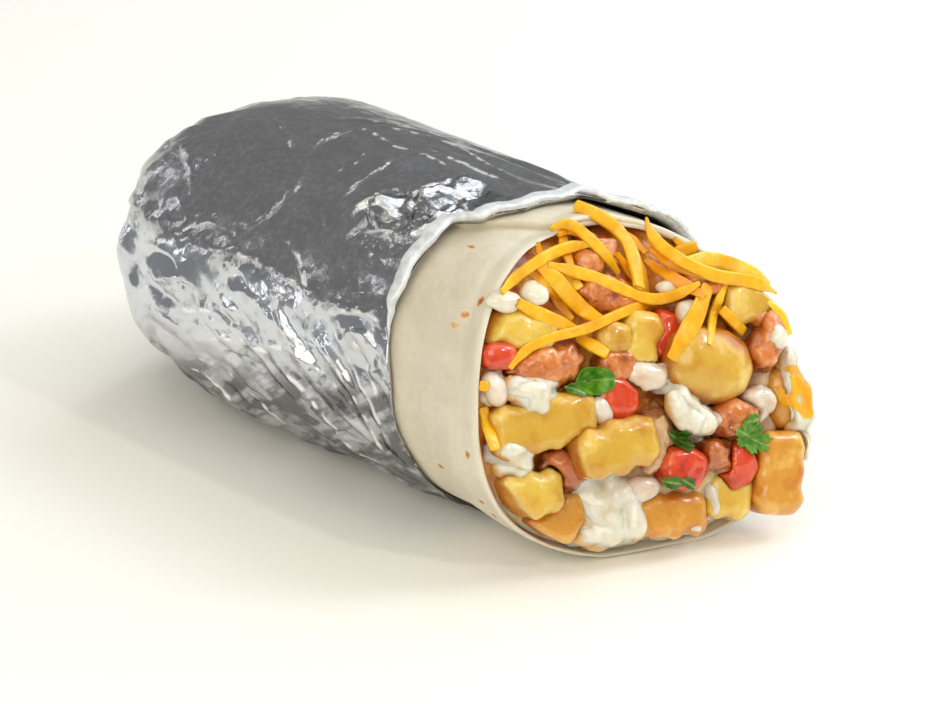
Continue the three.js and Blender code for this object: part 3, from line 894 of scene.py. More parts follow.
def make_piece(name: str, dough: Dough, finish: Finish, slot: str,
               replaces: Sequence[str] = ()) -> bpy.types.Object:
    """Turn a mesh into a piece of the burrito.

    Args:
        name: The piece's name.
        dough: Its mesh, in millimetres.
        finish: What it is made of.
        slot: The record's material slot that it belongs to; not used.
        replaces: CAD nodes that it stands for.

    Returns:
        The new object.
    """
    mesh = bpy.data.meshes.new(name)
    mesh.from_pydata((dough.vertices * MM).tolist(), [], dough.faces)
    for mark, values in dough.marks.items():
        attribute = mesh.attributes.new(mark, "FLOAT", "POINT")
        attribute.data.foreach_set("value", values.astype(np.float32))
    mesh.polygons.foreach_set("use_smooth", np.ones(len(mesh.polygons), dtype=bool))
    mesh.update()
    piece = bpy.data.objects.new(name, mesh)
    bpy.context.scene.collection.objects.link(piece)
    mesh.materials.append(finish.material())
    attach(piece, ROOT)
    if replaces:
        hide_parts(*replaces)
    LOG.info("%s: %d faces, %s", name, len(dough.faces), finish.name)
    return piece


def outward(vertices: Array, faces: list) -> list:
    """Faces of a closed skin, turned so that they all look out of it.

    Args:
        vertices: The skin's points.
        faces: Faces that agree with each other.

    Returns:
        The same faces, or all of them reversed.
    """
    corners = four_cornered(faces)
    a, b, c, d = (vertices[corners[:, i]] - vertices.mean(axis=0) for i in range(4))
    volume = np.einsum("ij,ij->", a, np.cross(b, c)) + np.einsum("ij,ij->", a, np.cross(c, d))
    return faces if volume > 0 else [face[::-1] for face in faces]


def grid_normals(points: Array) -> Array:
    """Directions square to a grid of points whose last column joins its first.

    Args:
        points: The grid, shape (rows, columns, 3).

    Returns:
        Unit vectors of the same shape, pointing out of a roll.
    """
    along = np.gradient(points, axis=0)
    around = np.roll(points, -1, axis=1) - np.roll(points, 1, axis=1)
    normal = np.cross(around, along)
    normal /= np.maximum(np.linalg.norm(normal, axis=-1, keepdims=True), 1e-9)
    middle = points.mean(axis=1, keepdims=True)
    facing = np.einsum("ijk,ijk->", normal, points - middle)
    return normal if facing > 0 else -normal


# ---------------------------------------------------------------- foil
@dataclass(frozen=True)
class Crease:
    """A crease in the sheet. Lengths in millimetres.

    Attributes:
        route: Places it passes through, as distances from the tail and angles round the roll.
        height: Its height; a groove's is negative.
        width: Distance over which the sheet rises to it.
        broken: How uneven it is, from 0 to 1.
    """

    route: tuple[tuple[float, float], ...]
    height: float
    width: float
    broken: float


@dataclass(frozen=True)
class Dent:
    """A flat spot pressed into the sheet. Lengths in millimetres.

    Attributes:
        x: Its distance from the tail.
        angle: Its angle round the roll.
        along: Half its length along the roll.
        around: Half its length round the roll.
        lean_along: Its slope along the roll.
        lean_around: Its slope round the roll.
        sunk: How deep its middle lies.
    """

    x: float
    angle: float
    along: float
    around: float
    lean_along: float
    lean_around: float
    sunk: float = 0.0


CREASES = (
    Crease(((49, 146), (56, 139), (59, 130), (59, 124), (58, 116)), 0.62, 1.2, 0.75),
    Crease(((53, 112), (52, 106), (51, 98), (52, 92), (55, 88), (66, 90), (78, 89), (92, 92)),
           0.60, 1.5, 0.4),
    Crease(((53, 91), (55, 83), (63, 79), (71, 75), (85, 78), (104, 84)), 0.60, 1.7, 0.35),
    Crease(((43, 90), (46, 85), (51, 81), (58, 76), (72, 66)), 0.55, 1.6, 0.35),
    Crease(((70, 84), (86, 84), (106, 87)), -0.5, 1.8, 0.3),
    Crease(((72, 122), (72, 112), (73, 104), (71, 96)), 0.62, 1.2, 0.8),
    Crease(((78, 129), (79, 118), (86, 112), (88, 105), (90, 92)), 1.05, 1.8, 0.5),
    Crease(((81, 133), (89, 127), (97, 124), (99, 112), (99, 99)), 1.0, 1.9, 0.5),
    Crease(((78, 118), (84, 122), (89, 127)), -0.7, 1.3, 0.5),
    Crease(((86, 112), (92, 119), (97, 124)), -0.8, 1.4, 0.5),
    Crease(((88, 105), (94, 110), (99, 112)), 0.8, 1.4, 0.5),
    Crease(((90, 96), (97, 103), (105, 105)), -0.8, 1.5, 0.5),
    Crease(((19, 166), (30, 159), (41, 148), (47, 147), (54, 146)), 0.7, 1.4, 0.85),
    Crease(((24, 160), (34, 158), (44, 156), (59, 153), (71, 154), (82, 157)), 0.75, 1.6, 0.8),
    Crease(((63, 139), (69, 143), (74, 150), (79, 158)), 0.75, 1.4, 0.8),
    Crease(((82, 157), (90, 157), (97, 155), (104, 158)), 0.9, 1.8, 0.5),
    Crease(((42, 190), (58, 182), (73, 184), (85, 195), (92, 213), (103, 221)), 1.0, 2.4, 0.4),
    Crease(((78, 168), (93, 180), (100, 196), (104, 210)), 0.9, 1.9, 0.35),
    Crease(((85, 160), (95, 174), (103, 190), (107, 203)), 0.9, 1.9, 0.35),
    Crease(((92, 160), (100, 174), (106, 188)), -0.7, 1.7, 0.3),
    Crease(((39, 197), (50, 197), (60, 206), (66, 222)), 1.0, 2.2, 0.45),
    Crease(((60, 184), (76, 178), (90, 184), (98, 192)), 0.8, 1.9, 0.45),
    Crease(((30, 205), (44, 206), (55, 216)), 0.9, 2.0, 0.5),
    Crease(((20, 176), (34, 181), (50, 176), (62, 170)), 0.8, 1.7, 0.65),
    Crease(((70, 162), (74, 172), (84, 178)), 0.8, 1.7, 0.5),
    Crease(((12, 120), (24, 128), (33, 141), (41, 148)), 0.5, 1.1, 0.85),
    Crease(((30, 96), (41, 103), (50, 112)), 0.45, 1.1, 0.85),
    Crease(((62, 132), (70, 130), (76, 134)), 0.5, 1.1, 0.8),
    Crease(((88, 140), (93, 146), (100, 148)), 0.5, 1.3, 0.7),
    Crease(((64, 112), (66, 104), (64, 98)), 0.42, 1.1, 0.8),
    Crease(((26, 112), (30, 122), (28, 130)), 0.4, 1.0, 0.85),
    Crease(((40, 240), (62, 246), (92, 244), (112, 250)), 0.7, 2.2, 0.4),
    Crease(((50, 300), (70, 318), (96, 322), (118, 330)), 0.7, 1.8, 0.5),
    Crease(((38, 10), (60, 352), (84, 346), (108, 352)), 0.8, 1.8, 0.5),
    Crease(((46, 40), (66, 34), (92, 40), (116, 36)), 0.6, 1.6, 0.5),
)
DENTS = (
    Dent(31, 169, 6.5, 3.6, 0.02, 0.24, 0.1), Dent(40, 174, 6.0, 2.6, 0.05, 0.22, 0.2),
    Dent(57, 163, 3.4, 2.8, -0.05, 0.20, 0.2), Dent(82, 176, 4.2, 2.6, -0.05, 0.22, 0.1),
    Dent(60, 190, 7.0, 1.6, 0.05, 0.26, 0.2), Dent(88, 204, 8.0, 1.5, 0.05, 0.24, 0.2),
    Dent(88, 119, 6.0, 4.6, -0.36, 0.05), Dent(95, 107, 5.0, 5.0, -0.32, -0.16),
    Dent(84, 113, 4.0, 3.6, -0.24, 0.22), Dent(97, 97, 4.6, 4.0, -0.28, -0.2),
    Dent(97, 168, 5.0, 5.0, 0.0, -0.22), Dent(60, 171, 9.0, 5.0, 0.05, -0.16),
)


@dataclass(frozen=True)
class FoilSleeve:
    """The aluminium foil round the tail: a crumpled sheet with a folded edge. Lengths in millimetres."""

    roll: Roll
    edge_table: tuple[tuple[float, float], ...] = (
        (0, 126), (35, 129), (62, 128), (77, 116), (92, 113), (106, 109), (113, 103),
        (150, 104), (180, 108), (213, 112), (250, 117), (300, 122), (360, 126))
    near_columns: int = 250
    far_columns: int = 146
    near_side: tuple[float, float] = (62.0, 236.0)
    disc_rows: int = 24
    rounding_rows: int = 62
    sleeve_rows: int = 152
    inner_inset: float = 1.3
    lift_at: tuple[float, float] = (38.0, 74.0)
    lift_height: float = 1.05
    rests_below: float = 1.0
    free_above: float = 5.0
    hem_from: float = -70.0
    hem_to: float = 162.0
    hem_columns: int = 620
    hem_thickness: float = 0.95
    shade_at_tail: float = 11.0
    shade_rise: float = 0.27
    shade_ease: float = 7.0

    def edge(self, angle: Array) -> Array:
        """Where the sleeve ends, as a distance from the tail."""
        return eased_table(self.edge_table, angle)

    def lift(self, x: Array, angle: Array) -> Array:
        """How far the sleeve's edge stands off the tortilla on the far top."""
        near_edge = smoothstep(self.edge(angle) - x, 16.0, 0.0)
        return self.lift_height * near_edge * window(angle, *self.lift_at, 16.0)

    def busy(self, x: Array, angle: Array) -> Array:
        """Where the sheet is most broken up by handling, from 0 to 1."""
        from_edge = self.edge(angle) - x
        at_edge = smoothstep(from_edge, 30.0, 8.0) * window(angle, 98.0, 132.0, 12.0)
        middle = 0.55 * window(angle, 146.0, 158.0, 8.0)
        low = 0.10 * window(angle, 165.0, 236.0, 10.0)
        corner = 0.35 * window(angle, 190.0, 250.0, 14.0) * smoothstep(x, 48.0, 24.0)
        tail = 0.55 * smoothstep(x, 18.0, 4.0)
        back = 0.55 * np.clip(window(angle, -90.0, 38.0, 14.0) + window(angle, 270.0, 398.0, 14.0), 0, 1)
        return np.clip(np.maximum.reduce([at_edge, middle, low, corner, tail, back]), 0.08, 1.0)

    def relief(self, points: Array, x: Array, angle: Array) -> tuple[Array, Array]:
        """Height of the crumpled sheet over the smooth roll, and where a painted highlight lies on its crease
        crests.

        Args:
            points: Points of the smooth roll.
            x: Their distances from the tail.
            angle: Their angles round the roll.

        Returns:
            Heights, in millimetres, and how much of a crest each point is, from 0 to 1.
        """
        busy = self.busy(x, angle)
        patchy = smoothstep(soft_noise(points, 9.0, 17), -0.35, 0.35)
        low = self.sheet(angle)
        height = 0.45 * soft_noise(points, 34.0, 3)
        height += (0.30 + 0.42 * low) * facet_noise(points, (17.0, 13.0, 13.0), 5)
        height += (0.12 + 0.55 * busy + 0.20 * low) * facet_noise(points, (8.5, 6.0, 6.5), 7)
        height += (0.05 + 0.34 * busy * patchy) * facet_noise(points, (3.8, 3.0, 3.2), 11)
        height += (0.022 + 0.12 * busy * patchy) * facet_noise(points, 1.7, 13)
        near_table = smoothstep(points[..., 2], 30.0, 12.0) * low
        height += near_table * 0.75 * facet_noise(points, (12.0, 6.0, 5.0), 9)
        height += near_table * 0.22 * facet_noise(points, (5.0, 3.4, 3.0), 10)
        height += self.jagged(points, x, angle)
        height += self.long_folds(x, angle) + self.tail_folds(points, x) + self.far_lap(points, x, angle)
        crest = np.zeros(x.shape)
        for number, crease in enumerate(CREASES):
            raised, bright = self.crease_height(crease, points, x, angle, number)
            height += raised * (1 - 0.3 * low)
            crest = np.maximum(crest, bright)
        height += sum(self.dent_height(dent, points, x, angle) for dent in DENTS)
        resting = smoothstep(points[..., 2], self.rests_below, self.free_above)
        return np.clip(height, -0.9, 3.2) * resting, crest

    def sheet(self, angle: Array) -> Array:
        """Where the side facing the table is still in large smooth sheets, from 0 to 1."""
        return window(angle, 161.0, 236.0, 7.0)

    def jagged(self, points: Array, x: Array, angle: Array) -> Array:
        """Angular flaps that stand away from the roll at its low corner and round its tail."""
        corner = window(angle, 176.0, 252.0, 14.0) * smoothstep(x, 84.0, 26.0)
        height = corner * (0.8 + 1.5 * facet_noise(points, (12.0, 9.0, 7.0), 15))
        return height + 0.9 * smoothstep(x, 26.0, 8.0) * facet_noise(points, (12.0, 10.0, 11.0), 16)

    def crease_height(self, crease: Crease, points: Array, x: Array, angle: Array,
                      number: int) -> tuple[Array, Array]:
        """Height that one crease adds to the sheet, and where a painted highlight lies on its crest.

        Args:
            crease: The crease.
            points: Points of the smooth roll.
            x: Their distances from the tail.
            angle: Their angles round the roll.
            number: Which crease it is.

        Returns:
            Heights, in millimetres, and the painted highlight on its crest, from 0 to 1.
        """
        unwound = np.array([(a, b - 360.0 if b > 340.0 else b) for a, b in crease.route])
        line = smooth_route(unwound * (1.0, self.roll.degree), 0.8)
        turned = np.where(angle > 345.0, angle - 360.0, angle)
        sheet = np.stack([x, self.roll.degree * turned], axis=-1)
        wobble = np.stack([soft_noise(points, 3.2, seed + number) for seed in (91, 131)], axis=-1)
        sheet = sheet + 0.9 * crease.broken * wobble
        low, high = line.min(axis=0) - 2 * crease.width - 1, line.max(axis=0) + 2 * crease.width + 1
        near = np.all((sheet > low) & (sheet < high), axis=-1)
        height = np.zeros(x.shape)
        away = np.linalg.norm(sheet[near][:, None, :] - line[None], axis=-1)
        nearest = away.argmin(axis=1)
        distance = away[np.arange(len(away)), nearest]
        run = nearest / len(line)
        strength = np.clip(np.minimum(run, 1 - run) * 5.0, 0, 1)
        uneven = 1 - crease.broken * (0.5 + 0.5 * facet_noise(points[near], 2.8, 171 + number))
        height[near] = crease.height * strength * uneven * np.maximum(0, 1 - distance / crease.width)
        crest = np.zeros(x.shape)
        # Painted highlight, in broken patches along the crest.
        painted_glint = smoothstep(facet_noise(points[near], (2.2, 2.2, 2.2), 251 + number), -0.35, 0.3)
        crest[near] = strength * painted_glint * np.maximum(0, 1 - distance / (0.62 * crease.width))
        return height, crest

    def dent_height(self, dent: Dent, points: Array, x: Array, angle: Array) -> Array:
        """Height that one flat spot adds to the sheet."""
        along = x - dent.x + 0.5 * facet_noise(points, 2.6, 191)
        around = self.roll.degree * (angle - dent.angle) + 0.5 * facet_noise(points, 2.6, 193)
        inside = smoothstep(np.hypot(along / dent.along, around / dent.around), 1.12, 0.9)
        return inside * (dent.lean_along * along + dent.lean_around * around - dent.sunk)

    def long_folds(self, x: Array, angle: Array) -> Array:
        """Shallow folds along the roll, drawn together towards the edge."""
        drawn = np.stack([x / 30.0, (angle + 0.08 * x) / 5.2, np.zeros_like(x)], axis=-1)
        folds = facet_noise(drawn, 1.0, 21)
        on_top = window(angle, 50.0, 104.0, 14.0) * smoothstep(x, 52.0, 92.0)
        low_side = window(angle, 176.0, 250.0, 16.0) * smoothstep(x, 30.0, 58.0)
        drawn_low = np.stack([x / 40.0, (angle - 1.1 * x) / 6.5, np.zeros_like(x)], axis=-1)
        return 0.62 * folds * on_top + 1.05 * facet_noise(drawn_low, 1.0, 23) * low_side

    def tail_folds(self, points: Array, x: Array) -> Array:
        """Pleats and flaps where the sheet is folded in over the tail."""
        y, z = points[..., 1], points[..., 2] - self.roll.tail_height / 2
        around = np.degrees(np.arctan2(z, y))
        radius = np.hypot(y, z)
        pleats = facet_noise(np.stack([around / 11.0, radius / 30.0, 0 * y], axis=-1), 1.0, 31)
        height = 0.7 * pleats * smoothstep(x, 30.0, 10.0) * smoothstep(radius, 4.0, 14.0)
        ragged = 1.4 * soft_noise(points, 9.0, 33)
        for turn, offset, step in ((72.0, 3.0, 0.9), (196.0, 5.0, 0.8), (318.0, 8.0, 0.7)):
            across = y * np.cos(np.radians(turn)) + z * np.sin(np.radians(turn)) - offset + ragged
            height = height + step * smoothstep(across, -0.35, 0.35) * smoothstep(x, 22.0, 7.0)
        return height

    def far_lap(self, points: Array, x: Array, angle: Array) -> Array:
        """The sheet's last turn, which laps over itself along the far side."""
        edge = 20.0 + 2.2 * soft_noise(points, 12.0, 41) + 0.04 * x
        away = np.mod(angle - edge + 180.0, 360.0) - 180.0
        return 0.7 * smoothstep(away, -0.6, 0.2) * smoothstep(away, 46.0, 10.0) * smoothstep(x, 6.0, 16.0)

    def build(self) -> None:
        """Make the sheet and its folded edge."""
        first, last = self.near_side
        near = np.linspace(first, last, self.near_columns, endpoint=False)
        far = np.linspace(last, first + 360.0, self.far_columns, endpoint=False)
        angle = np.mod(np.concatenate([near, far]), 360.0)[None, :]
        turn = np.linspace(0, np.pi / 2, self.rounding_rows)[:, None]
        rounding = self.roll.tail_rounding * (1 - np.cos(turn))
        straight = np.linspace(0, 1, self.sleeve_rows + 1)[1:, None]
        edge = self.edge(angle)
        sleeve = self.roll.tail_rounding + straight * (edge - self.roll.tail_rounding)
        x = np.concatenate([rounding + 0 * angle, sleeve])
        angles = np.broadcast_to(angle, x.shape)
        smooth = self.roll.point(x, angles, -self.lift(x, angles))
        centre = np.array([self.roll.tail_x - self.roll.foil_bulge, 0.0, self.roll.tail_height / 2])
        share = (np.arange(1, self.disc_rows) / self.disc_rows)[:, None, None]
        disc = centre + (smooth[:1] - centre) * share
        disc[..., 0] = smooth[0, 0, 0] - self.roll.foil_bulge * (1 - share[..., 0] ** 2)
        base = np.concatenate([disc, smooth])
        x = np.concatenate([np.zeros((self.disc_rows - 1, angle.size)), x])
        angles = np.broadcast_to(angle, x.shape)
        height, crest = self.relief(base, x, angles)
        height = height * np.where(x > 0, 1.0, smoothstep(np.arange(len(x))[:, None], 0, 6))
        outer = base + grid_normals(base) * height[..., None]
        outer[..., 2] = np.maximum(outer[..., 2], 0.0)
        inner = self.inner_rows(angle, edge)
        end = np.array([self.roll.tail_x + self.inner_inset, 0.0, self.roll.tail_height / 2])
        vertices, faces = closed_skin(centre, np.concatenate([outer, inner]), end)
        sheet = self.sheet(angles)
        # Painted shade: the finish darkens the low sheet below this height, near the table.
        shaded_below = self.shade_at_tail + self.shade_rise * x
        low = smoothstep(outer[..., 2], shaded_below + self.shade_ease, shaded_below - self.shade_ease)
        shown = {"busy": self.busy(x, angles), "table": low * sheet, "crest": crest, "sheet": sheet}
        hidden = np.zeros(inner[..., 0].size + 2)
        marks = {name: np.concatenate([values.ravel(), hidden]) for name, values in shown.items()}
        dough = Dough(vertices, outward(vertices, faces), marks)
        make_piece("foil_sheet", dough, CrumpledFoil(), "foil", ["foil_wrap"])
        self.build_hem()

    def inner_rows(self, angle: Array, edge: Array) -> Array:
        """Rows of the sheet's inner face, from its edge back to the tail."""
        rows = []
        for back in (0.0, 0.6, 4.0, 12.0):
            x = edge - back
            inset = (0.35 if back == 0.0 else self.inner_inset) - self.lift(x, angle)
            rows.append(self.roll.point(x, angle, np.maximum(inset, 0.35 - self.lift(x, angle)))[0])
        for x in (80.0, 60.0, 36.0, 20.0, 9.0, 3.5, self.inner_inset + 0.4):
            rows.append(self.roll.point(np.full_like(edge, x), angle, self.inner_inset)[0])
        return np.array(rows)

    def build_hem(self) -> None:
        """The band of the sheet's edge, folded back on itself with its pale side out."""
        angle = np.linspace(self.hem_from, self.hem_to, self.hem_columns)[:, None]
        around = np.linspace(0, 2 * np.pi, 26, endpoint=False)[None, :]
        place = np.concatenate([angle / 7.0, 0 * angle, 0 * angle], axis=1)[:, None, :]
        wide = 3.9 + 0.6 * facet_noise(place, 1.0, 51)
        wide = wide * smoothstep(angle, self.hem_to, self.hem_to - 26.0)
        wide = wide * smoothstep(angle, self.hem_from, -56.0)
        wide = np.maximum(wide, 0.05)
        thick = self.hem_thickness * smoothstep(wide, 0.0, 1.4)
        edge = self.edge(np.mod(angle, 360.0)) + 0.35 + 0.5 * facet_noise(place * 0.8, 1.0, 53)
        across = np.sign(np.cos(around)) * np.abs(np.cos(around)) ** 0.7
        x = edge - wide / 2 + wide / 2 * across
        kink = 0.45 * facet_noise(place * 1.1, 1.0, 55) + 0.12 * facet_noise(place * 2.6, 1.0, 57)
        roundness = np.abs(np.sin(around)) ** 0.8
        outset = 0.35 + kink + np.where(np.sin(around) > 0, thick * roundness, -0.55 * roundness)
        outset = outset + self.lift(edge + 0 * x, np.mod(angle, 360.0))
        points = self.roll.point(x, np.mod(angle + 0 * x, 360.0), -outset)
        rough = 0.34 * facet_noise(points, (3.2, 4.2, 4.2), 59) + 0.06 * facet_noise(points, 1.4, 61)
        points = points + self.radial(points) * (rough * np.where(np.sin(around) > 0, 1, 0))[..., None]
        vertices, faces = closed_skin(points[0].mean(axis=0), points, points[-1].mean(axis=0))
        make_piece("foil_hem", Dough(vertices, outward(vertices, faces)), FoilReverse(), "foil")

    def radial(self, points: Array) -> Array:
        """Directions away from the roll's middle line."""
        out = points - np.array([0.0, 0.0, self.roll.tail_height / 2])
        out[..., 0] = 0.0
        return out / np.linalg.norm(out, axis=-1, keepdims=True)


# ---------------------------------------------------------------- tortilla
@dataclass(frozen=True)
class ToastedSpot:
    """A browned spot on the tortilla. Lengths in millimetres.

    Attributes:
        x: Its distance from the tail.
        angle: Its angle round the roll.
        width: Its size along the roll.
        height: Its size round the roll.
        strength: How brown it is, from 0 to 1.
    """

    x: float
    angle: float
    width: float
    height: float
    strength: float


class Face(Enum):
    """The part of the tortilla's wall on which a row of points lies."""

    TAIL = "outside, over the tail"
    HIDDEN = "outside, under the foil"
    SHOWN = "outside, past the foil"
    RIM = "round the rim"
    INNER = "inside, near the mouth"
    DEEP = "inside, further back"
    TAIL_INSIDE = "inside, over the tail"


@dataclass(frozen=True)
class Tortilla:
    """The rolled tortilla: one wall whose two ends overlap in a seam on top. Lengths in millimetres."""

    roll: Roll
    sleeve: FoilSleeve
    thickness: float = 2.2
    seam_step: float = 1.8
    seam_buried: float = 111.0
    seam_bend: float = 103.0
    seam_run: float = 19.0
    seam_skew: float = 1.02
    seam_blend: float = 60.0
    buried_inset: float = 1.6
    rim_thinning: float = 1.15
    rim_round: float = 0.6
    foil_overlap: float = 5.0
    deep_from: float = 34.0
    swell_from: float = 3.0
    swell_to: float = 18.0
    columns: int = 350
    spots: tuple[ToastedSpot, ...] = (
        ToastedSpot(109.5, 116, 3.2, 1.4, 0.75), ToastedSpot(124.5, 136, 1.6, 2.6, 1.0),
        ToastedSpot(123, 142.5, 2.6, 2.2, 0.62), ToastedSpot(121.8, 147, 3.2, 2.2, 0.55),
        ToastedSpot(131.2, 186.5, 1.6, 2.4, 0.8), ToastedSpot(119.6, 200.5, 3.0, 1.8, 0.75),
        ToastedSpot(130.4, 209, 1.8, 1.6, 0.9), ToastedSpot(131.9, 216, 1.5, 2.2, 0.85),
        ToastedSpot(119.3, 154, 1.6, 1.6, 0.3), ToastedSpot(123, 100, 3.0, 1.5, 0.3),
        ToastedSpot(141, 60, 5.0, 4.0, 0.6), ToastedSpot(133, 22, 3.0, 5.0, 0.7),
        ToastedSpot(138, 300, 3.5, 3.0, 0.6), ToastedSpot(128, 340, 2.5, 3.5, 0.75),
        ToastedSpot(131, 262, 2.5, 2.0, 0.5), ToastedSpot(136, 5, 2.0, 2.0, 0.6))

    def seam(self, x: Array) -> Array:
        """Angle of the overlapping edge at a distance from the tail."""
        return self.seam_buried - self.seam_skew * np.clip(x - self.seam_bend, 0, self.seam_run)

    def layers(self, x: Array, angle: Array, turn: Array) -> tuple[Array, Array]:
        """Insets of the wall's outer and inner face.

        Args:
            x: Distances from the tail.
            angle: Angles round the roll.
            turn: Degrees past the wall's open edge.

        Returns:
            The two insets.
        """
        edge = self.sleeve.edge(angle)
        swell = smoothstep(x, edge + self.swell_from, edge + self.swell_to)
        buried = self.buried_inset * (1 - swell)
        under = self.seam_step * (1 - smoothstep(turn, 0, self.seam_blend))
        doubled = self.seam_step * smoothstep(turn, 360 - self.seam_blend, 359)
        thinner = self.rim_thinning * smoothstep(self.roll.reach(angle) - x, 9.0, 0.5)
        return buried + under, buried + under + self.thickness + doubled - thinner

    def inside(self, x: Array, angle: Array, gap: Array | float) -> Array:
        """Points inside the wall, clear of it by a gap."""
        turn = np.minimum(np.mod(angle - self.seam(x), 360.0), 359.0)
        return self.roll.point(x, angle, self.layers(x, angle, turn)[1] + gap)

    def surface_swell(self, x: Array, angle: Array, reach: Array) -> Array:
        """Soft unevenness of the rolled bread, with a dip just behind its rim."""
        sheet = np.stack([x, self.roll.degree * angle, 0 * x], axis=-1)
        height = 0.42 * soft_noise(sheet, (13.0, 17.0, 1.0), 71)
        height = height + 0.16 * soft_noise(sheet, (5.0, 6.0, 1.0), 73)
        behind = reach - x
        dip = np.exp(-((behind - 4.6) / 1.6) ** 2) * window(angle, 84.0, 178.0, 18.0)
        height = height - 0.34 * dip - 0.10 * smoothstep(behind, 1.6, 0.0)
        return height * smoothstep(x, self.sleeve.edge(angle) - 2, self.sleeve.edge(angle) + 6)

    def lip(self) -> tuple[Array, Array]:
        """Columns over the overlapping edge: degrees of turn, and depths under the upper face."""
        turns = np.array([357.3, 358.0, 358.5, 358.85, 359.05, 359.1, 359.0, 358.75, 358.9, 359.4])
        depths = np.array([0.0, 0.03, 0.14, 0.36, 0.7, 1.05, 1.4, 1.66, 1.84, 1.84])
        return turns, depths

    def build(self) -> bpy.types.Object:
        """Make the wall."""
        lip_turns, lip_depths = self.lip()
        turns = np.concatenate([np.linspace(0, 356.6, self.columns), lip_turns])[None, :]
        depths = np.concatenate([np.zeros(self.columns), lip_depths])[None, :]
        rows, marks = [], []
        for face, share in self.stations():
            row, mark = self.row(face, share, turns, depths)
            rows.append(row)
            marks.append(mark)
        tip = np.array([self.roll.tail_x + self.buried_inset, 0, self.roll.tail_height / 2])
        vertices, faces = closed_skin(tip, np.array(rows), tip + (self.thickness, 0, 0))
        vertices[:, 2] = np.maximum(vertices[:, 2], 0.0)
        pale, toast = (np.concatenate([np.ravel([mark[i] for mark in marks]), [0, 0]]) for i in range(2))
        dough = Dough(vertices, outward(vertices, faces), {"pale": pale, "toast": toast})
        return make_piece("tortilla_wall", dough, FlourTortilla(), "tortilla", ["tortilla"])

    def stations(self) -> list[tuple[Face, float]]:
        """Rows along the wall: their face, and a share of the way or, inside, millimetres behind the rim."""
        half = 0.25 * (1 - np.cos(np.pi * np.arange(1, 8) / 8))
        rows = {
            Face.TAIL: np.linspace(0.0, 1.0, 9),
            Face.HIDDEN: (0.25, 0.5, 0.75),
            Face.SHOWN: np.linspace(0.0, 1.0, 62),
            Face.RIM: (*half, 0.485, 0.515, *(1 - half[::-1])),
            Face.INNER: (0.7, 1.5, 2.4, 3.3, 4.2, 5.2, 6.4, 7.8, 9.5, 11.5, 14, 18, 24, self.deep_from),
            Face.DEEP: (0.66, 0.33),
            Face.TAIL_INSIDE: np.linspace(1.0, 0.0, 7)}
        return [(face, share) for face, shares in rows.items() for share in shares]

    def along(self, face: Face, share: float, reach: Array, edge: Array) -> Array:
        """Distances from the tail of a row's points.

        Args:
            face: Which face they lie on.
            share: How far along that face.
            reach: Where the rim is.
            edge: Where the foil ends.

        Returns:
            The distances.
        """
        rounding, covered = self.roll.tail_rounding, self.foil_overlap
        if face is Face.HIDDEN:
            return rounding + share * (edge - covered - rounding)
        if face is Face.SHOWN:
            return edge - covered + share * (reach - self.rim_round - edge + covered)
        if face is Face.RIM:
            return reach
        if face is Face.INNER:
            return reach - share
        if face is Face.DEEP:
            return rounding + share * (reach - self.deep_from - rounding)
        inset = self.buried_inset + (self.thickness if face is Face.TAIL_INSIDE else 0.0)
        return inset + (rounding - inset) * (1 - np.cos(np.pi / 2 * max(share, 0.04))) + 0 * reach

    def rim_lobe(self, share: float, turns: Array) -> Array:
        """How far the rounded rim stands out, from 0 to 1: one bead, or two where the sheet lies double."""
        single = np.sqrt(np.maximum(0, 1 - (2 * share - 1) ** 2))
        double = np.sqrt(np.maximum(0, 1 - (4 * (share % 0.5) - 1) ** 2))
        return single + (double - single) * smoothstep(turns, 318.0, 350.0)

    def row(self, face: Face, share: float, turns: Array, depths: Array) -> tuple[Array, Array]:
        """One row of the wall.

        Args:
            face: Which face it lies on.
            share: How far along that face.
            turns: Degrees past the open edge.
            depths: Depths of the overlapping edge's lip.

        Returns:
            The points, and the painted highlight of the rim and how toasted each is.
        """
        angle = turns + self.seam(self.roll.length)
        for _ in range(4):
            reach = self.roll.reach(angle)
            x = self.along(face, share, reach, self.sleeve.edge(np.mod(angle, 360.0)))
            angle = self.seam(x) + turns
        around = np.mod(angle, 360.0)
        outer, inner = self.layers(x, around, np.minimum(turns, 359.0))
        swell = self.surface_swell(x, around, reach)
        if face is Face.RIM:
            x = reach - self.rim_round * (1 - self.rim_lobe(share, turns))
            inset = outer + depths + share * (inner - outer - depths) - swell * (1 - share)
        elif face in (Face.INNER, Face.DEEP, Face.TAIL_INSIDE):
            inset = inner - 0.15 * soft_noise(np.stack([x, around, 0 * x], axis=-1), 9.0, 77)
        else:
            inset = outer + depths - swell
        marks = np.zeros((2, turns.size))
        # The pale mark paints a highlight along the rounded rim.
        if face in (Face.SHOWN, Face.RIM):
            marks = np.concatenate([smoothstep(reach - x, 1.6, 0.8), self.toast(x, around)])
        return self.roll.point(x, around, inset)[0], marks

    def toast(self, x: Array, angle: Array) -> Array:
        """How toasted the wall is, from 0 to 1."""
        total = 0 * x
        for spot in self.spots:
            away = np.mod(angle - spot.angle + 180, 360) - 180
            distance = np.hypot((x - spot.x) / (spot.width / 2), away * self.roll.degree / (spot.height / 2))
            total = np.maximum(total, spot.strength * smoothstep(distance, 1.7, 0.35))
        return total


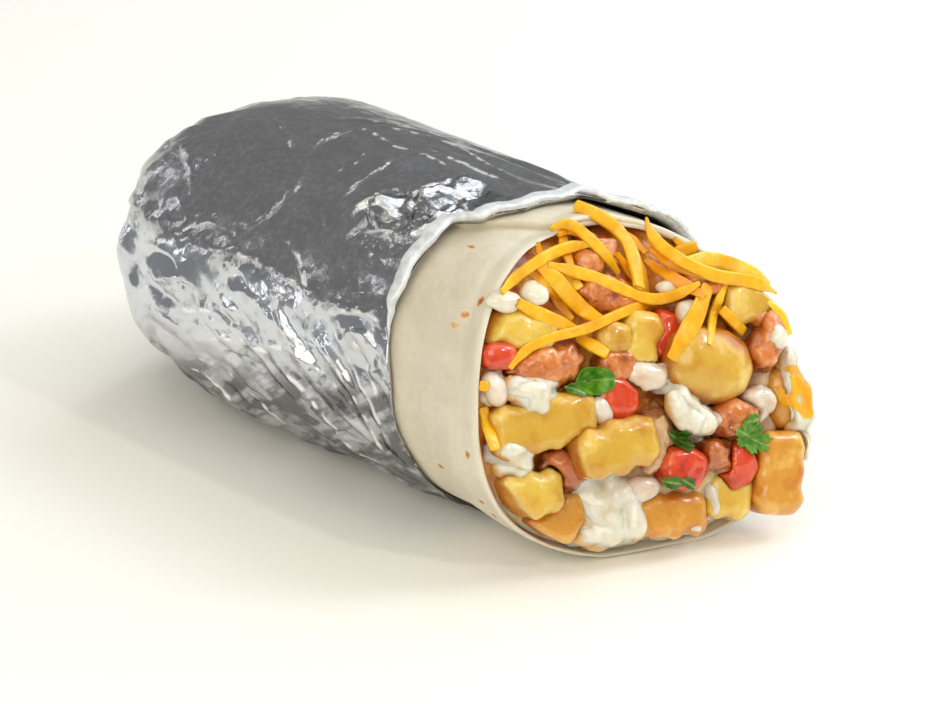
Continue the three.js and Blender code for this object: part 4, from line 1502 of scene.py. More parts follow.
# ---------------------------------------------------------------- filling under the pieces
@dataclass(frozen=True)
class FillingCore:
    """The mass of filling inside the roll, up to just under the pieces at the mouth."""

    tortilla: Tortilla
    plane: MouthPlane
    columns: int = 260
    dome_rows: int = 96
    setback: float = 2.6
    gap: float = 0.35
    deepest: float = 2.8
    sauced_rise: float = 2.3

    def sauced(self, right: Array, up: Array) -> Array:
        """Where sauce has run over the mass: low down and to the right, from 0 to 1."""
        at_right = smoothstep(right, 26.0, 36.0) * smoothstep(up, 14.0, 4.0)
        return np.maximum(smoothstep(up, -10.0, -24.0), at_right)

    def surface(self, right: Array, up: Array) -> Array:
        """How far the mass stands out of the mouth's plane: it lies under the pieces, least where sauced."""
        depth = self.deepest - self.sauced_rise * self.sauced(right, up)
        return self.plane.surface(right, up) - depth

    def build(self) -> bpy.types.Object:
        """Make the mass."""
        roll = self.tortilla.roll
        angle = np.arange(self.columns)[None, :] * 360.0 / self.columns
        reach = roll.reach(angle) - self.setback
        shares = (0.06, 0.12, 0.24, 0.5, 0.75, 0.9)
        rows = [self.tortilla.inside(reach * share, angle, self.gap)[0] for share in shares]
        sauced = [np.zeros(self.columns) for _ in rows]
        flat = self.plane.from_row(self.tortilla.inside(reach, angle, self.gap)[0])
        for shrink in np.linspace(1.0, 0.0, self.dome_rows)[:-1]:
            right, up = flat[:, 0] * shrink, flat[:, 1] * shrink
            ease = 1 - shrink ** 7
            out = flat[:, 2] + (self.surface(right, up) - flat[:, 2]) * ease
            points = self.plane.to_row(np.stack([right, up, out], axis=-1))
            lumps = 0.9 * soft_noise(points, 5.0, 81) + 0.5 * soft_noise(points, 2.2, 83)
            rows.append(points + lumps[:, None] * self.plane.axes[2] * smoothstep(ease, 0.0, 0.7))
            sauced.append(self.sauced(right, up))
        tail = np.array([roll.tail_x + 6.0, 0, roll.tail_height / 2])
        middle = self.plane.to_row([0.0, 0.0, float(self.surface(0.0, 0.0))])
        vertices, faces = closed_skin(tail, np.array(rows), middle)
        dough = Dough(vertices, outward(vertices, faces), {"sauced": np.concatenate([*sauced, [0, 0]])})
        return make_piece("filling_mass", dough, MixedFilling(), "filling", ["filling_core"])


# ---------------------------------------------------------------- pieces of filling
POTATO = CookedFood(
    "potato_fried_golden", deep="#C88A22", body="#D6A834", light="#ECC968", edge="#F1D272", juice_shade="#B45E10",
    edge_highlight_strength=0.65, juice_shade_strength=0.9, mottle=7.0, grain=1.3, grain_depth=0.07, roughness=0.28,
    gloss=0.7, scatter=0.3, reach=2.5)
POTATO_PALE = replace(
    POTATO, name="potato_fried_pale", deep="#D59C2C", body="#E2BC48", light="#F1D982", edge="#F4DE88",
    juice_shade="#C2741A", juice_shade_strength=0.85)
POTATO_BROWNED = replace(
    POTATO, name="potato_fried_browned", deep="#C67418", body="#D8962C", light="#EEC466", edge="#EEC264",
    juice_shade="#B85A12", edge_highlight_strength=0.55, juice_shade_strength=0.85, mottle=6.0, grain=1.1, grain_depth=0.10)
CHICKEN = CookedFood(
    "chicken_grilled_glazed", deep="#9C4612", body="#D4782C", light="#EBAA6A", edge="#DC8E4A",
    juice_shade="#84340E", edge_highlight_strength=0.45, juice_shade_strength=0.85, mottle=3.6, grain=0.8, grain_depth=0.20,
    roughness=0.24, gloss=1.0, scatter=0.25, reach=1.8, stretch=2.0)
CHICKEN_DARK = replace(
    CHICKEN, name="chicken_grilled_charred", deep="#7C340C", body="#B85E20", light="#DC904A", edge="#C26A2C",
    juice_shade="#64260A", edge_highlight_strength=0.5, juice_shade_strength=0.8, mottle=3.2, roughness=0.22, scatter=0.15,
    reach=1.4)
CHICKEN_PALE = replace(
    CHICKEN, name="chicken_grilled_pale", deep="#B87E4C", body="#DBB286", light="#F0D8B6", edge="#E2BC92",
    juice_shade="#A2521E", edge_highlight_strength=0.4, juice_shade_strength=0.75, mottle=2.4, grain_depth=0.36, roughness=0.3,
    gloss=0.7, stretch=1.4)
TOMATO = CookedFood(
    "tomato_ripe_diced", deep="#B22608", body="#DA4216", light="#EA7444", edge="#E46430", juice_shade="#861404",
    edge_highlight_strength=0.4, juice_shade_strength=0.7, mottle=4.0, grain=1.2, grain_depth=0.06, roughness=0.2, gloss=0.8,
    scatter=0.2, reach=1.4)
ONION = CookedFood(
    "onion_raw_diced", deep="#D8BC9C", body="#E6D4C0", light="#F2EADE", edge="#F4EDE2", juice_shade="#C07A3C",
    edge_highlight_strength=0.45, juice_shade_strength=0.8, mottle=4.5, grain=1.4, grain_depth=0.05, roughness=0.16,
    gloss=0.9, scatter=0.6, reach=3.5, bleed=(1.0, 0.8, 0.6))
CREAM = CookedFood(
    "sour_cream_sauce", deep="#DACFB0", body="#E6E1CF", light="#F1EEE4", edge="#EDEADF", juice_shade="#DCA650",
    edge_highlight_strength=0.3, juice_shade_strength=0.85, mottle=3.5, grain=1.6, grain_depth=0.05, roughness=0.18,
    gloss=0.9,
    scatter=0.5, reach=3.0, fleck="#A3AA50", bleed=(1.0, 0.85, 0.6))


class Cut(Enum):
    """What a piece of filling is, by the first word of its CAD node's name."""

    FRY = "fry"
    POTATO = "potato"
    CHICKEN = "chicken"
    TOMATO = "tomato"
    ONION = "onion"
    CREAM = "cream"

    @classmethod
    def of(cls, node: str) -> "Cut":
        """The cut that a node's name tells."""
        return cls(node.split("_")[0])

    @property
    def slot(self) -> str:
        """The record's material slot of the cut."""
        return "potato" if self is Cut.FRY else self.value


@dataclass(frozen=True)
class Texture:
    """How a cut's surface is shaped. Sizes and heights are in millimetres.

    Attributes:
        relax: How often the shape is rounded off.
        swelling: Size and height of broad swellings.
        lumps: Size and height of lumps.
        voxel: Size of the mesh's faces.
        facets: Size and height of torn or cut facets.
        fibres: Size along, size across and height of fibres.
        grow: How far the whole piece swells.
    """

    relax: int
    swelling: tuple[float, float]
    lumps: tuple[float, float]
    voxel: float = 0.5
    facets: tuple[float, float] = (2.0, 0.0)
    fibres: tuple[float, float, float] = (5.0, 1.0, 0.0)
    grow: float = 0.0

    def work(self, dough: Dough, seed: int, plane: MouthPlane) -> Dough:
        """Shape a piece's mesh.

        Args:
            dough: The mesh.
            seed: Which relief it gets.
            plane: The mouth's plane; sides lying deeper behind it take juice colour and painted shade.

        Returns:
            The mesh itself.
        """
        dough.relax(self.relax)
        points = dough.vertices
        height = self.swelling[1] * soft_noise(points, self.swelling[0], seed)
        height += self.lumps[1] * soft_noise(points, self.lumps[0], seed + 1)
        height += self.facets[1] * facet_noise(points, self.facets[0], seed + 2)
        if self.fibres[2]:
            lean = np.radians(37.0 * seed)
            along = np.array([np.cos(lean), np.sin(lean), 0.4 * np.sin(2 * lean)])
            run = points @ (along / np.linalg.norm(along))
            across = points - run[:, None] * along
            stretched = across + along * run[:, None] * self.fibres[1] / self.fibres[0]
            height += self.fibres[2] * soft_noise(stretched, self.fibres[1], seed + 3)
        dough.swell(height + self.grow)
        out = plane.from_row(dough.vertices)[:, 2]
        # Painted shade, with juice colour, on the sides that lie deeper behind the mouth, between the pieces.
        dough.marks["glazed"] = smoothstep(out.max() - out, 0.8, 4.4)
        # The proud mark drives painted highlights on bends and painted shade in hollows.
        dough.mark_edges("proud", 12, 0.45)
        return dough


TEXTURES: Mapping[Cut, Texture] = {
    Cut.FRY: Texture(relax=9, swelling=(7.0, 0.5), lumps=(3.0, 0.14), grow=0.25),
    Cut.POTATO: Texture(relax=14, swelling=(9.0, 0.6), lumps=(3.6, 0.12), grow=0.35),
    Cut.CHICKEN: Texture(relax=4, swelling=(4.6, 0.9), lumps=(2.0, 0.34), facets=(2.4, 0.30),
                         fibres=(6.0, 1.2, 0.28), grow=0.1),
    Cut.TOMATO: Texture(relax=4, swelling=(6.0, 0.5), lumps=(2.0, 0.1), facets=(3.0, 0.15), grow=0.1),
    Cut.ONION: Texture(relax=5, swelling=(5.0, 0.6), lumps=(2.0, 0.08), facets=(4.0, 0.25)),
    Cut.CREAM: Texture(relax=8, swelling=(4.2, 1.3), lumps=(2.0, 0.12)),
}
BASE_FINISH: Mapping[Cut, CookedFood] = {
    Cut.FRY: POTATO, Cut.POTATO: POTATO, Cut.CHICKEN: CHICKEN, Cut.TOMATO: TOMATO, Cut.ONION: ONION,
    Cut.CREAM: CREAM}
OWN_FINISH: Mapping[str, CookedFood] = {
    "fry_upper_left": POTATO_PALE, "fry_low_right": POTATO_PALE, "fry_upright": POTATO_PALE,
    "fry_bottom_left": POTATO_BROWNED, "fry_low": POTATO_BROWNED, "fry_right": POTATO_BROWNED,
    "potato_right": POTATO_BROWNED, "fry_low_left": POTATO_PALE,
    "chicken_dark": CHICKEN_DARK, "chicken_low": CHICKEN_DARK, "chicken_pale": CHICKEN_PALE}


@dataclass(frozen=True)
class Filling:
    """The pieces of filling at the mouth that the CAD model places one by one."""

    plane: MouthPlane

    def build(self) -> list[bpy.types.Object]:
        """Shape and dress each piece."""
        pieces = []
        nodes = [node for node in sorted(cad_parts) if node.split("_")[0] in {cut.value for cut in Cut}]
        for number, node in enumerate(nodes):
            cut = Cut.of(node)
            texture = TEXTURES[cut]
            dough = Dough.even(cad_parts[node].data, texture.voxel)
            dough = texture.work(dough, 100 + 7 * number, self.plane)
            finish = OWN_FINISH.get(node, BASE_FINISH[cut])
            pieces.append(make_piece(node + "_morsel", dough, finish, cut.slot, [node]))
        return pieces


# ---------------------------------------------------------------- loose things laid on the filling
@dataclass
class Relief:
    """The height of what is already at the mouth, read over the mouth's plane on a fine grid.

    Attributes:
        plane: The mouth's plane.
        pieces: Objects that things may lie on.
        half: Half the grid's width in millimetres.
        step: The grid's spacing.
        floor: The height taken where nothing lies.
        ray_from: The height from which rays are cast.
        grid: The heights.
    """

    plane: MouthPlane
    pieces: Sequence[bpy.types.Object]
    half: float = 50.0
    step: float = 0.4
    floor: float = -14.0
    ray_from: float = 60.0
    grid: Array = field(init=False)

    def __post_init__(self) -> None:
        """Read the heights by casting a ray at each place of the grid."""
        vertices, polygons, count = [], [], 0
        for piece in self.pieces:
            points = vertex_array(piece.data) / MM
            vertices.append(points)
            polygons += [[corner + count for corner in face.vertices] for face in piece.data.polygons]
            count += len(points)
        tree = BVHTree.FromPolygons(np.concatenate(vertices).tolist(), polygons)
        ticks = np.arange(-self.half, self.half + self.step / 2, self.step)
        down = Vector(-self.plane.axes[2])
        self.grid = np.full((len(ticks), len(ticks)), self.floor)
        for i, up in enumerate(ticks):
            starts = self.plane.to_row(np.stack([ticks, 0 * ticks + up, 0 * ticks + self.ray_from], axis=-1))
            for j, start in enumerate(starts):
                distance = tree.ray_cast(Vector(start), down)[3]
                if distance is not None:
                    self.grid[i, j] = max(self.ray_from - distance, self.floor)

    def cells(self, right: Array, up: Array) -> tuple[Array, Array]:
        """Places on the plane in the grid's own steps."""
        top = self.grid.shape[0] - 1.001
        return tuple(np.clip((np.asarray(v) + self.half) / self.step, 0, top) for v in (right, up))

    def at(self, right: Array, up: Array) -> Array:
        """Height at places on the plane."""
        column, row = self.cells(right, up)
        j, i = column.astype(int), row.astype(int)
        s, t = column - j, row - i
        near = self.grid[i, j] * (1 - s) + self.grid[i, j + 1] * s
        far = self.grid[i + 1, j] * (1 - s) + self.grid[i + 1, j + 1] * s
        return near * (1 - t) + far * t

    def highest(self, right: Array, up: Array, reach: float) -> Array:
        """Greatest height within a small distance of places on the plane."""
        best = self.at(right, up)
        for ring in (0.5, 1.0):
            for turn in np.arange(8) * np.pi / 4:
                around = self.at(right + reach * ring * np.cos(turn), up + reach * ring * np.sin(turn))
                best = np.maximum(best, around)
        return best

    def cover(self, right: Array, up: Array, top: Array, reach: float) -> None:
        """Raise the grid where something now lies.

        Args:
            right: Its places to the right.
            up: Its places upwards.
            top: Its upper side at each place.
            reach: Half its width in millimetres.
        """
        span = int(np.ceil(reach / self.step))
        column, row = self.cells(right, up)
        for j, i, height in zip(np.rint(column).astype(int), np.rint(row).astype(int), top):
            rows = slice(max(i - span, 0), i + span + 1)
            columns = slice(max(j - span, 0), j + span + 1)
            self.grid[rows, columns] = np.maximum(self.grid[rows, columns], height)


def straightened(line: Array, times: int = 1) -> Array:
    """A line whose inner places are drawn between their neighbours, this many times."""
    line = line.copy()
    for _ in range(times):
        line[1:-1] = 0.25 * (line[:-2] + line[2:]) + 0.5 * line[1:-1]
    return line


def smooth_route(points: Sequence[Sequence[float]], spacing: float) -> Array:
    """A smooth line through points, at even spacing.

    Args:
        points: What it passes through, each with two or more numbers; the first two are places.
        spacing: Distance between the results in millimetres.

    Returns:
        The line's points.
    """
    knots = np.array(points, dtype=float)
    padded = np.concatenate([[2 * knots[0] - knots[1]], knots, [2 * knots[-1] - knots[-2]]])
    line = []
    for i in range(1, len(padded) - 2):
        a, b, c, d = padded[i - 1:i + 3]
        t = np.linspace(0, 1, 24, endpoint=False)[:, None]
        line.append(0.5 * (2 * b + (c - a) * t + (2 * a - 5 * b + 4 * c - d) * t ** 2
                           + (3 * b - a - 3 * c + d) * t ** 3))
    line = np.concatenate([*line, knots[-1:]])
    run = np.concatenate([[0], np.cumsum(np.linalg.norm(np.diff(line[:, :2], axis=0), axis=1))])
    even = np.linspace(0, run[-1], max(int(run[-1] / spacing), 4) + 1)
    return np.stack([np.interp(even, run, line[:, i]) for i in range(line.shape[1])], axis=-1)


@dataclass(frozen=True)
class Shred:
    """One shred of cheese. Lengths in millimetres.

    Attributes:
        route: Places (right, up) on the mouth's plane that it passes over.
        width: Its width.
        thickness: Its thickness.
        tint: 0 for bright yellow, 1 for melted orange, -1 for pale.
        stiff: How far it bridges hollows: the number of times it is drawn straight.
        tip: Width of its ends, as a share of its width.
        droop: How far its last end hangs down.
    """

    route: tuple[tuple[float, float], ...]
    width: float
    thickness: float
    tint: float
    stiff: int = 60
    tip: float = 0.55
    droop: float = 0.0


SHREDS = (
    Shred(((19.5, 20), (16, 16), (12.5, 12.5), (9, 9), (6.5, 6.5)), 4.2, 0.8, 0.15, 20, 0.75),
    Shred(((6.5, 28.5), (8.5, 26), (11.5, 23), (15, 20.5), (17.5, 18)), 2.9, 1.2, 0.45),
    Shred(((2, 36), (4.5, 33.5), (7, 30)), 2.6, 1.2, 0.4),
    Shred(((4.5, 31), (4.5, 27), (4.5, 21.5)), 2.6, 1.2, 0.2),
    Shred(((-19.5, 36.5), (-19.5, 33.5), (-19.5, 30), (-18.5, 26.5), (-17.5, 22.5), (-15.5, 19.5)),
          2.6, 1.2, 0.35),
    Shred(((-16, 30), (-12.5, 27.5), (-12, 25.5)), 3.2, 1.2, -0.3, 30, 0.7),
    Shred(((-12, 39), (-13, 35.5), (-13, 32.5), (-12.5, 29.5)), 2.7, 1.1, 0.2),
    Shred(((24, 19.5), (21.5, 17), (18.5, 13), (16, 8)), 2.3, 1.1, -0.2),
    Shred(((8.5, 30.5), (12.4, 26.5), (17.5, 23.5), (25, 21), (31, 19)), 2.6, 1.2, 0.25, 60),
    Shred(((15.5, 31.5), (19.3, 26.2), (24.8, 24), (30.4, 22.5), (33.6, 19)), 2.4, 1.1, 0.1, 60, 0.5, 3.0),
    Shred(((-0.5, 30.8), (2.4, 25.6), (3.4, 22)), 2.3, 1.2, 0.4),
    Shred(((-13.5, 37.5), (-10, 38.4), (-6.5, 36.4), (-5.5, 32.5)), 2.4, 1.1, 0.3),
    Shred(((-23, 30.5), (-19.6, 27.4), (-17, 24)), 2.6, 1.2, 0.3),
    Shred(((21.5, 14.5), (23.5, 12), (25.5, 9)), 2.7, 1.3, 0.1, 40, 0.85),
    Shred(((33.5, 14), (35.5, 12), (36, 9), (36.5, 6.5)), 2.4, 0.9, -0.4, 20, 0.55, 4.0),
    Shred(((-14.5, 15), (-12, 13), (-9, 10.5)), 3.1, 1.4, 0.0, 40, 0.8),
    Shred(((15, 28.5), (17.5, 29), (20, 29)), 3.4, 1.7, 0.0, 40, 0.8),
    Shred(((-20, 31.5), (-17, 27.5), (-14.5, 23.5), (-11.5, 20), (-8.5, 17.5)), 3.6, 1.3, 0.0, 70, 0.7),
    Shred(((-27.5, 25), (-25, 23), (-21, 20.5), (-17, 18), (-15, 16.5)), 3.1, 1.3, 0.0, 60, 0.75),
    Shred(((-31, 28), (-27, 30.5), (-22.5, 32), (-17.5, 33.5), (-12.5, 34.5), (-6.5, 34)),
          2.6, 1.2, -0.1, 90),
    Shred(((-32, 12), (-29, 14.5), (-25, 16), (-19.5, 16.5), (-13, 16.5), (-8, 17.5), (-2.5, 18.5), (2, 19),
           (6.5, 19)), 2.3, 1.2, 0.1, 110),
    Shred(((-15, 39), (-10.5, 40), (-8.5, 38), (-6, 34.5), (-3, 30.5), (-1.5, 27)), 2.5, 1.2, 0.0, 90),
    Shred(((-18, 31.5), (-13.5, 29.5), (-8.5, 27.5), (-4.5, 25), (-0.5, 22.5), (3, 20.5), (5, 19.5),
           (9, 19.5), (13.5, 20), (17, 21)), 2.6, 1.2, 0.0, 110, 0.45),
    Shred(((-7, 43), (-2.5, 40), (2, 36), (3.5, 31.5), (3.5, 28.5), (2.5, 23)), 3.2, 1.4, 0.0, 90, 0.85),
    Shred(((16.5, 26), (21.5, 26), (25.5, 24.5), (29.5, 22), (33, 19.5), (34.5, 17.5)),
          3.6, 1.3, -0.5, 90, 0.7, 5.0),
    Shred(((10, 37), (9.5, 33), (12.5, 28.5), (16, 25.5), (20.5, 22.5), (24, 21), (28.5, 20), (33, 18),
           (36.2, 15.6)), 2.9, 1.3, 0.0, 120, 0.25, 9.0),
    Shred(((-39.5, 4.5), (-39, 1), (-38, -2.5), (-37.5, -4.5)), 2.7, 1.5, 0.0, 20, 0.8),
    Shred(((-39.5, 9.5), (-38, 9)), 2.6, 1.4, 0.1, 10, 0.9),
)


@dataclass(frozen=True)
class CheeseShreds:
    """Grated cheese strewn over the top of the mouth, each shred draped on what lies under it."""

    relief: Relief
    spacing: float = 0.4
    corners: int = 16
    bury: float = 0.3

    def drape(self, shred: Shred, number: int) -> Dough:
        """Lay one shred down.

        Args:
            shred: The shred.
            number: Which shred it is.

        Returns:
            Its mesh.
        """
        route = straightened(smooth_route(shred.route, self.spacing), 45)
        plane = self.relief.plane
        right, up = route[:, 0], route[:, 1]
        for _ in range(4):
            resting = self.relief.highest(right, up, 0.3 * shred.width) + shred.thickness / 2 - self.bury
            hanging = shred.droop * smoothstep(np.linspace(0, 1, len(resting)), 0.5, 1.05)
            height = np.maximum(self.drawn(resting, shred.stiff) - hanging, resting - 0.45)
            right, up = plane.slide(route[:, 0], route[:, 1], height, plane.slant_level)
        path = straightened(np.stack([right, up, height], axis=-1), 24)
        self.relief.cover(path[:, 0], path[:, 1], path[:, 2] + 0.40 * shred.thickness, 0.42 * shred.width)
        return self.sweep(path, shred, number)

    def drawn(self, resting: Array, stiff: int) -> Array:
        """Heights of a stiff strip over what it rests on.

        Args:
            resting: Heights at which it would touch everywhere.
            stiff: How often it is drawn straight.

        Returns:
            Its heights.
        """
        height = resting.copy()
        for _ in range(stiff):
            drawn = straightened(height)
            drawn[0] = 0.9 * height[0] + 0.1 * height[1]
            drawn[-1] = 0.9 * height[-1] + 0.1 * height[-2]
            height = np.maximum(drawn - 0.010, resting - 0.45)
        return height

    def sweep(self, path: Array, shred: Shred, number: int) -> Dough:
        """The shred's body along its path.

        Args:
            path: Its middle line over the mouth's plane.
            shred: The shred.
            number: Which shred it is.

        Returns:
            Its mesh.
        """
        count = len(path)
        forward = np.gradient(path, axis=0)
        forward /= np.linalg.norm(forward, axis=1, keepdims=True)
        side = np.cross(forward, [0.0, 0.0, 1.0])
        side /= np.linalg.norm(side, axis=1, keepdims=True)
        top = np.cross(side, forward)
        run = np.arange(count) * self.spacing
        wander = np.stack([run / 7.0, 0 * run + number * 3.7, 0 * run], axis=-1)
        roll = 0.30 * soft_noise(wander, 1.0, 201)
        side, top = (np.cos(roll)[:, None] * side + np.sin(roll)[:, None] * top,
                     np.cos(roll)[:, None] * top - np.sin(roll)[:, None] * side)
        from_end = np.minimum(run, run[-1] - run)
        taper = shred.tip + (1 - shred.tip) * smoothstep(from_end, 0.0, 5.0)
        wide = shred.width / 2 * taper * (1 + 0.07 * soft_noise(wander, 1.0, 203))
        thick = shred.thickness / 2 * taper * (1 + 0.07 * soft_noise(wander, 1.0, 205))
        around = (np.arange(self.corners) + 0.5) * 2 * np.pi / self.corners
        across = np.sign(np.cos(around)) * np.abs(np.cos(around)) ** 0.42
        above = np.sign(np.sin(around)) * np.abs(np.sin(around)) ** 0.5
        rings = (path[:, None, :] + side[:, None, :] * (wide[:, None] * across)[..., None]
                 + top[:, None, :] * (thick[:, None] * above)[..., None])
        caps = []
        for end, way in ((0, -1.0), (-1, 1.0)):
            cap = path[end] + (rings[end] - path[end]) * 0.72 + forward[end] * way * 0.32
            caps.append(cap[None])
        rings = np.concatenate([caps[0], rings, caps[1]])
        tips = (path[0] - forward[0] * 0.42, path[-1] + forward[-1] * 0.42)
        vertices, faces = closed_skin(tips[0], rings, tips[1])
        vertices = self.relief.plane.to_row(vertices)
        tint = np.full(len(vertices), shred.tint)
        dough = Dough(vertices, outward(vertices, faces), {"tint": tint})
        dough.swell(0.04 * soft_noise(dough.vertices, 2.0, 207 + number))
        return dough

    def build(self) -> bpy.types.Object:
        """Lay every shred down."""
        parts = [self.drape(shred, number) for number, shred in enumerate(SHREDS)]
        heap = Dough.joined(parts)
        return make_piece("cheese_shreds", heap, ShreddedCheese(), "cheese", ["grated_cheese"])


@dataclass(frozen=True)
class Pour:
    """A run of sauce over the filling. Lengths in millimetres.

    Attributes:
        route: Places (right, up) on the mouth's plane.
        width: Half its width.
        thickness: Its thickness.
    """

    route: tuple[tuple[float, float], ...]
    width: float
    thickness: float


POURS = (
    Pour(((5.4, 0.6), (8.9, -2.2), (11.7, -5.0), (13.6, -7.2)), 1.5, 1.1),
    Pour(((14.3, -7.0), (15.6, -8.8)), 1.8, 1.3),
    Pour(((13.0, -9.4), (12.4, -10.4)), 2.4, 1.9), Pour(((-28.6, 6.2), (-25.0, 5.4), (-21.0, 5.2)), 2.0, 1.0),
    Pour(((-26.4, 3.2), (-24.6, 2.4)), 1.9, 1.1),
    Pour(((-12.8, -20.4), (-11.2, -23.5), (-9.0, -29.0)), 3.3, 1.0),
    Pour(((-8.2, -19.6), (-6.6, -23.6), (-5.4, -29.0)), 2.8, 1.1),
    Pour(((-15.0, -29.6), (-9.0, -31.6), (-2.0, -33.0)), 2.0, 0.8),
    Pour(((4.0, -33.4), (9.6, -33.2)), 1.5, 0.8),
    Pour(((14.5, -24.2), (14.7, -29.0), (14.0, -33.0)), 1.0, 0.9),
    Pour(((34.8, 6.4), (37.0, 3.4), (37.8, 0.8)), 2.6, 1.1),
    Pour(((39.6, -13.6), (38.8, -18.0), (36.8, -23.4)), 1.5, 0.7),
    Pour(((-34.0, -6.6), (-31.2, -8.0), (-28.4, -9.4)), 2.2, 1.2),
)
MELTED = (
    Pour(((37.6, -1.6), (39.4, -4.6), (40.0, -9.0), (38.6, -11.6)), 2.2, 0.9),
    Pour(((33.4, -1.8), (35.6, -5.4), (35.4, -9.0)), 1.6, 0.6),
)


def blended(grid: Array, own: int) -> Array:
    """Each value of a grid averaged with its four neighbours; own is its own weight."""
    total = own * grid
    for axis in (0, 1):
        for step in (1, -1):
            total = total + np.roll(grid, step, axis)
    return total / (own + 4)


def spread(cells: Array) -> Array:
    """Cells together with their eight neighbours."""
    wider = cells | np.roll(cells, 1, 0) | np.roll(cells, -1, 0)
    return wider | np.roll(wider, 1, 1) | np.roll(wider, -1, 1)


@dataclass(frozen=True)
class SauceFilm:
    """Something runny that has run over the pieces and between them, as one thin skin.

    Attributes:
        name: The piece's name.
        finish: Its look.
        slot: The slot of its look.
        pours: Where it runs.
        relief: What it lies on.
        step: Width of its mesh's cells.
        sink: How deep its underside reaches into what it lies on.
        waver: How far its outline strays.
        falloff: How quickly it thins out past a pour's own width.
        settle: How often its level is evened out.
        steepest: Greatest drop that one cell may span past cliffs_from, to the right.
        cliffs_from: Where the pieces begin to stand free of each other.
        lowest: Least height over the table.
    """

    name: str
    finish: Finish
    slot: str
    pours: tuple[Pour, ...]
    relief: Relief
    step: float = 0.4
    sink: float = 1.3
    waver: float = 0.7
    falloff: float = 2.2
    settle: int = 14
    steepest: float = 1.0
    cliffs_from: float = 30.0
    lowest: float = 2.0

    def build(self) -> bpy.types.Object:
        """Make the skin."""
        half = self.relief.half
        ticks = np.arange(-half, half + self.step / 2, self.step)
        right, up = np.meshgrid(ticks, ticks)
        ground = self.relief.at(right, up)
        places = np.stack([right, up, 0 * up], axis=-1)
        level = ground.copy()
        for _ in range(self.settle):
            level = np.clip(blended(level, 1), ground - 0.25, ground + 1.6)
        height = self.poured(places)
        inside = height > -self.sink + 0.05
        return self.skin(places, np.minimum(level, ground + 1.4) + height, ground, inside)

    def poured(self, places: Array) -> Array:
        """Height of the sauce over its own level: below 0 where it thins out, -sink where there is none."""
        wave = np.stack([soft_noise(places, 3.0, seed) for seed in (301, 303)], axis=-1)
        wavy = places[..., :2] + self.waver * wave
        height = np.full(places.shape[:2], -self.sink)
        for pour in self.pours:
            line = smooth_route(pour.route, 0.6) if len(pour.route) > 1 else np.array(pour.route)
            margin = self.falloff * pour.width
            low, high = line.min(axis=0) - margin - 1, line.max(axis=0) + margin + 1
            near = np.all((wavy > low) & (wavy < high), axis=-1)
            away = np.linalg.norm(wavy[near][:, None, :] - line[None], axis=-1).min(axis=1) / pour.width
            rise = pour.thickness * np.sqrt(np.maximum(0, 1 - np.minimum(away, 1) ** 2))
            body = np.where(away < 1, rise, -self.sink * np.minimum((away - 1) * self.falloff, 1))
            before = height[near]
            meets = 0.5 * np.exp(-((before - body) / 0.7) ** 2)
            height[near] = np.maximum(before, body) + meets * (np.minimum(before, body) > -0.4)
        return height

    def skin(self, places: Array, top: Array, ground: Array, inside: Array) -> bpy.types.Object:
        """Close the skin over the places that the sauce covers.

        Args:
            places: Places on the mouth's plane.
            top: The sauce's upper side.
            ground: What it lies on.
            inside: Where there is sauce.

        Returns:
            The new piece.
        """
        for _ in range(5):
            top = blended(top, 2)
        cell = inside[:-1, :-1] & inside[1:, :-1] & inside[:-1, 1:] & inside[1:, 1:]
        corners = np.stack([ground[:-1, :-1], ground[1:, :-1], ground[:-1, 1:], ground[1:, 1:]])
        outermost = places[:-1, :-1, 0] > self.cliffs_from
        cell &= corners.min(axis=0) > self.relief.floor + 0.5
        cell &= ~spread((np.ptp(corners, axis=0) > self.steepest) & outermost)
        cell &= spread(~spread(~cell))
        columns = inside.shape[1]
        row, column = np.nonzero(cell)
        first = row * columns + column
        upper = np.stack([first, first + 1, first + columns + 1, first + columns], axis=-1)
        count = inside.size
        lower = upper[:, ::-1] + count
        edges = np.concatenate([upper[:, [i, (i + 1) % 4]] for i in range(4)])
        keys = {(a, b) for a, b in edges.tolist()}
        border = np.array([(a, b) for a, b in keys if (b, a) not in keys])
        border = border[np.lexsort((border[:, 1], border[:, 0]))]
        walls = np.stack([border[:, 1], border[:, 0], border[:, 0] + count, border[:, 1] + count], axis=-1)
        faces = np.concatenate([upper, lower, walls])
        under = np.minimum(top, ground) - self.sink
        both = np.concatenate([places.reshape(-1, 3), places.reshape(-1, 3)])
        both[:, 2] = np.concatenate([top.ravel(), under.ravel()])
        used, renumbered = np.unique(faces, return_inverse=True)
        vertices = self.relief.plane.to_row(both[used])
        vertices[:, 2] = np.maximum(vertices[:, 2], self.lowest)
        dough = Dough(vertices, renumbered.reshape(faces.shape).tolist())
        dough.swell(0.10 * soft_noise(vertices, 1.8, 305))
        thin = np.tile(smoothstep(top - ground, 0.5, -0.1).ravel(), 2)[used]
        dough.marks["proud"] = np.zeros(len(thin))
        # Thin edges of the film take a little juice colour and painted shade.
        dough.marks["glazed"] = 0.2 * thin
        dough.marks["tint"] = 0.35 - 0.8 * thin
        return make_piece(self.name, dough, self.finish, self.slot)


@dataclass(frozen=True)
class Bit:
    """A small piece of filling. Lengths in millimetres.

    Attributes:
        place: Right, up and out on the mouth's plane.
        size: Its width, height and depth.
        turn: Its turn in the plane, in degrees.
    """

    place: tuple[float, float, float]
    size: tuple[float, float, float]
    turn: float


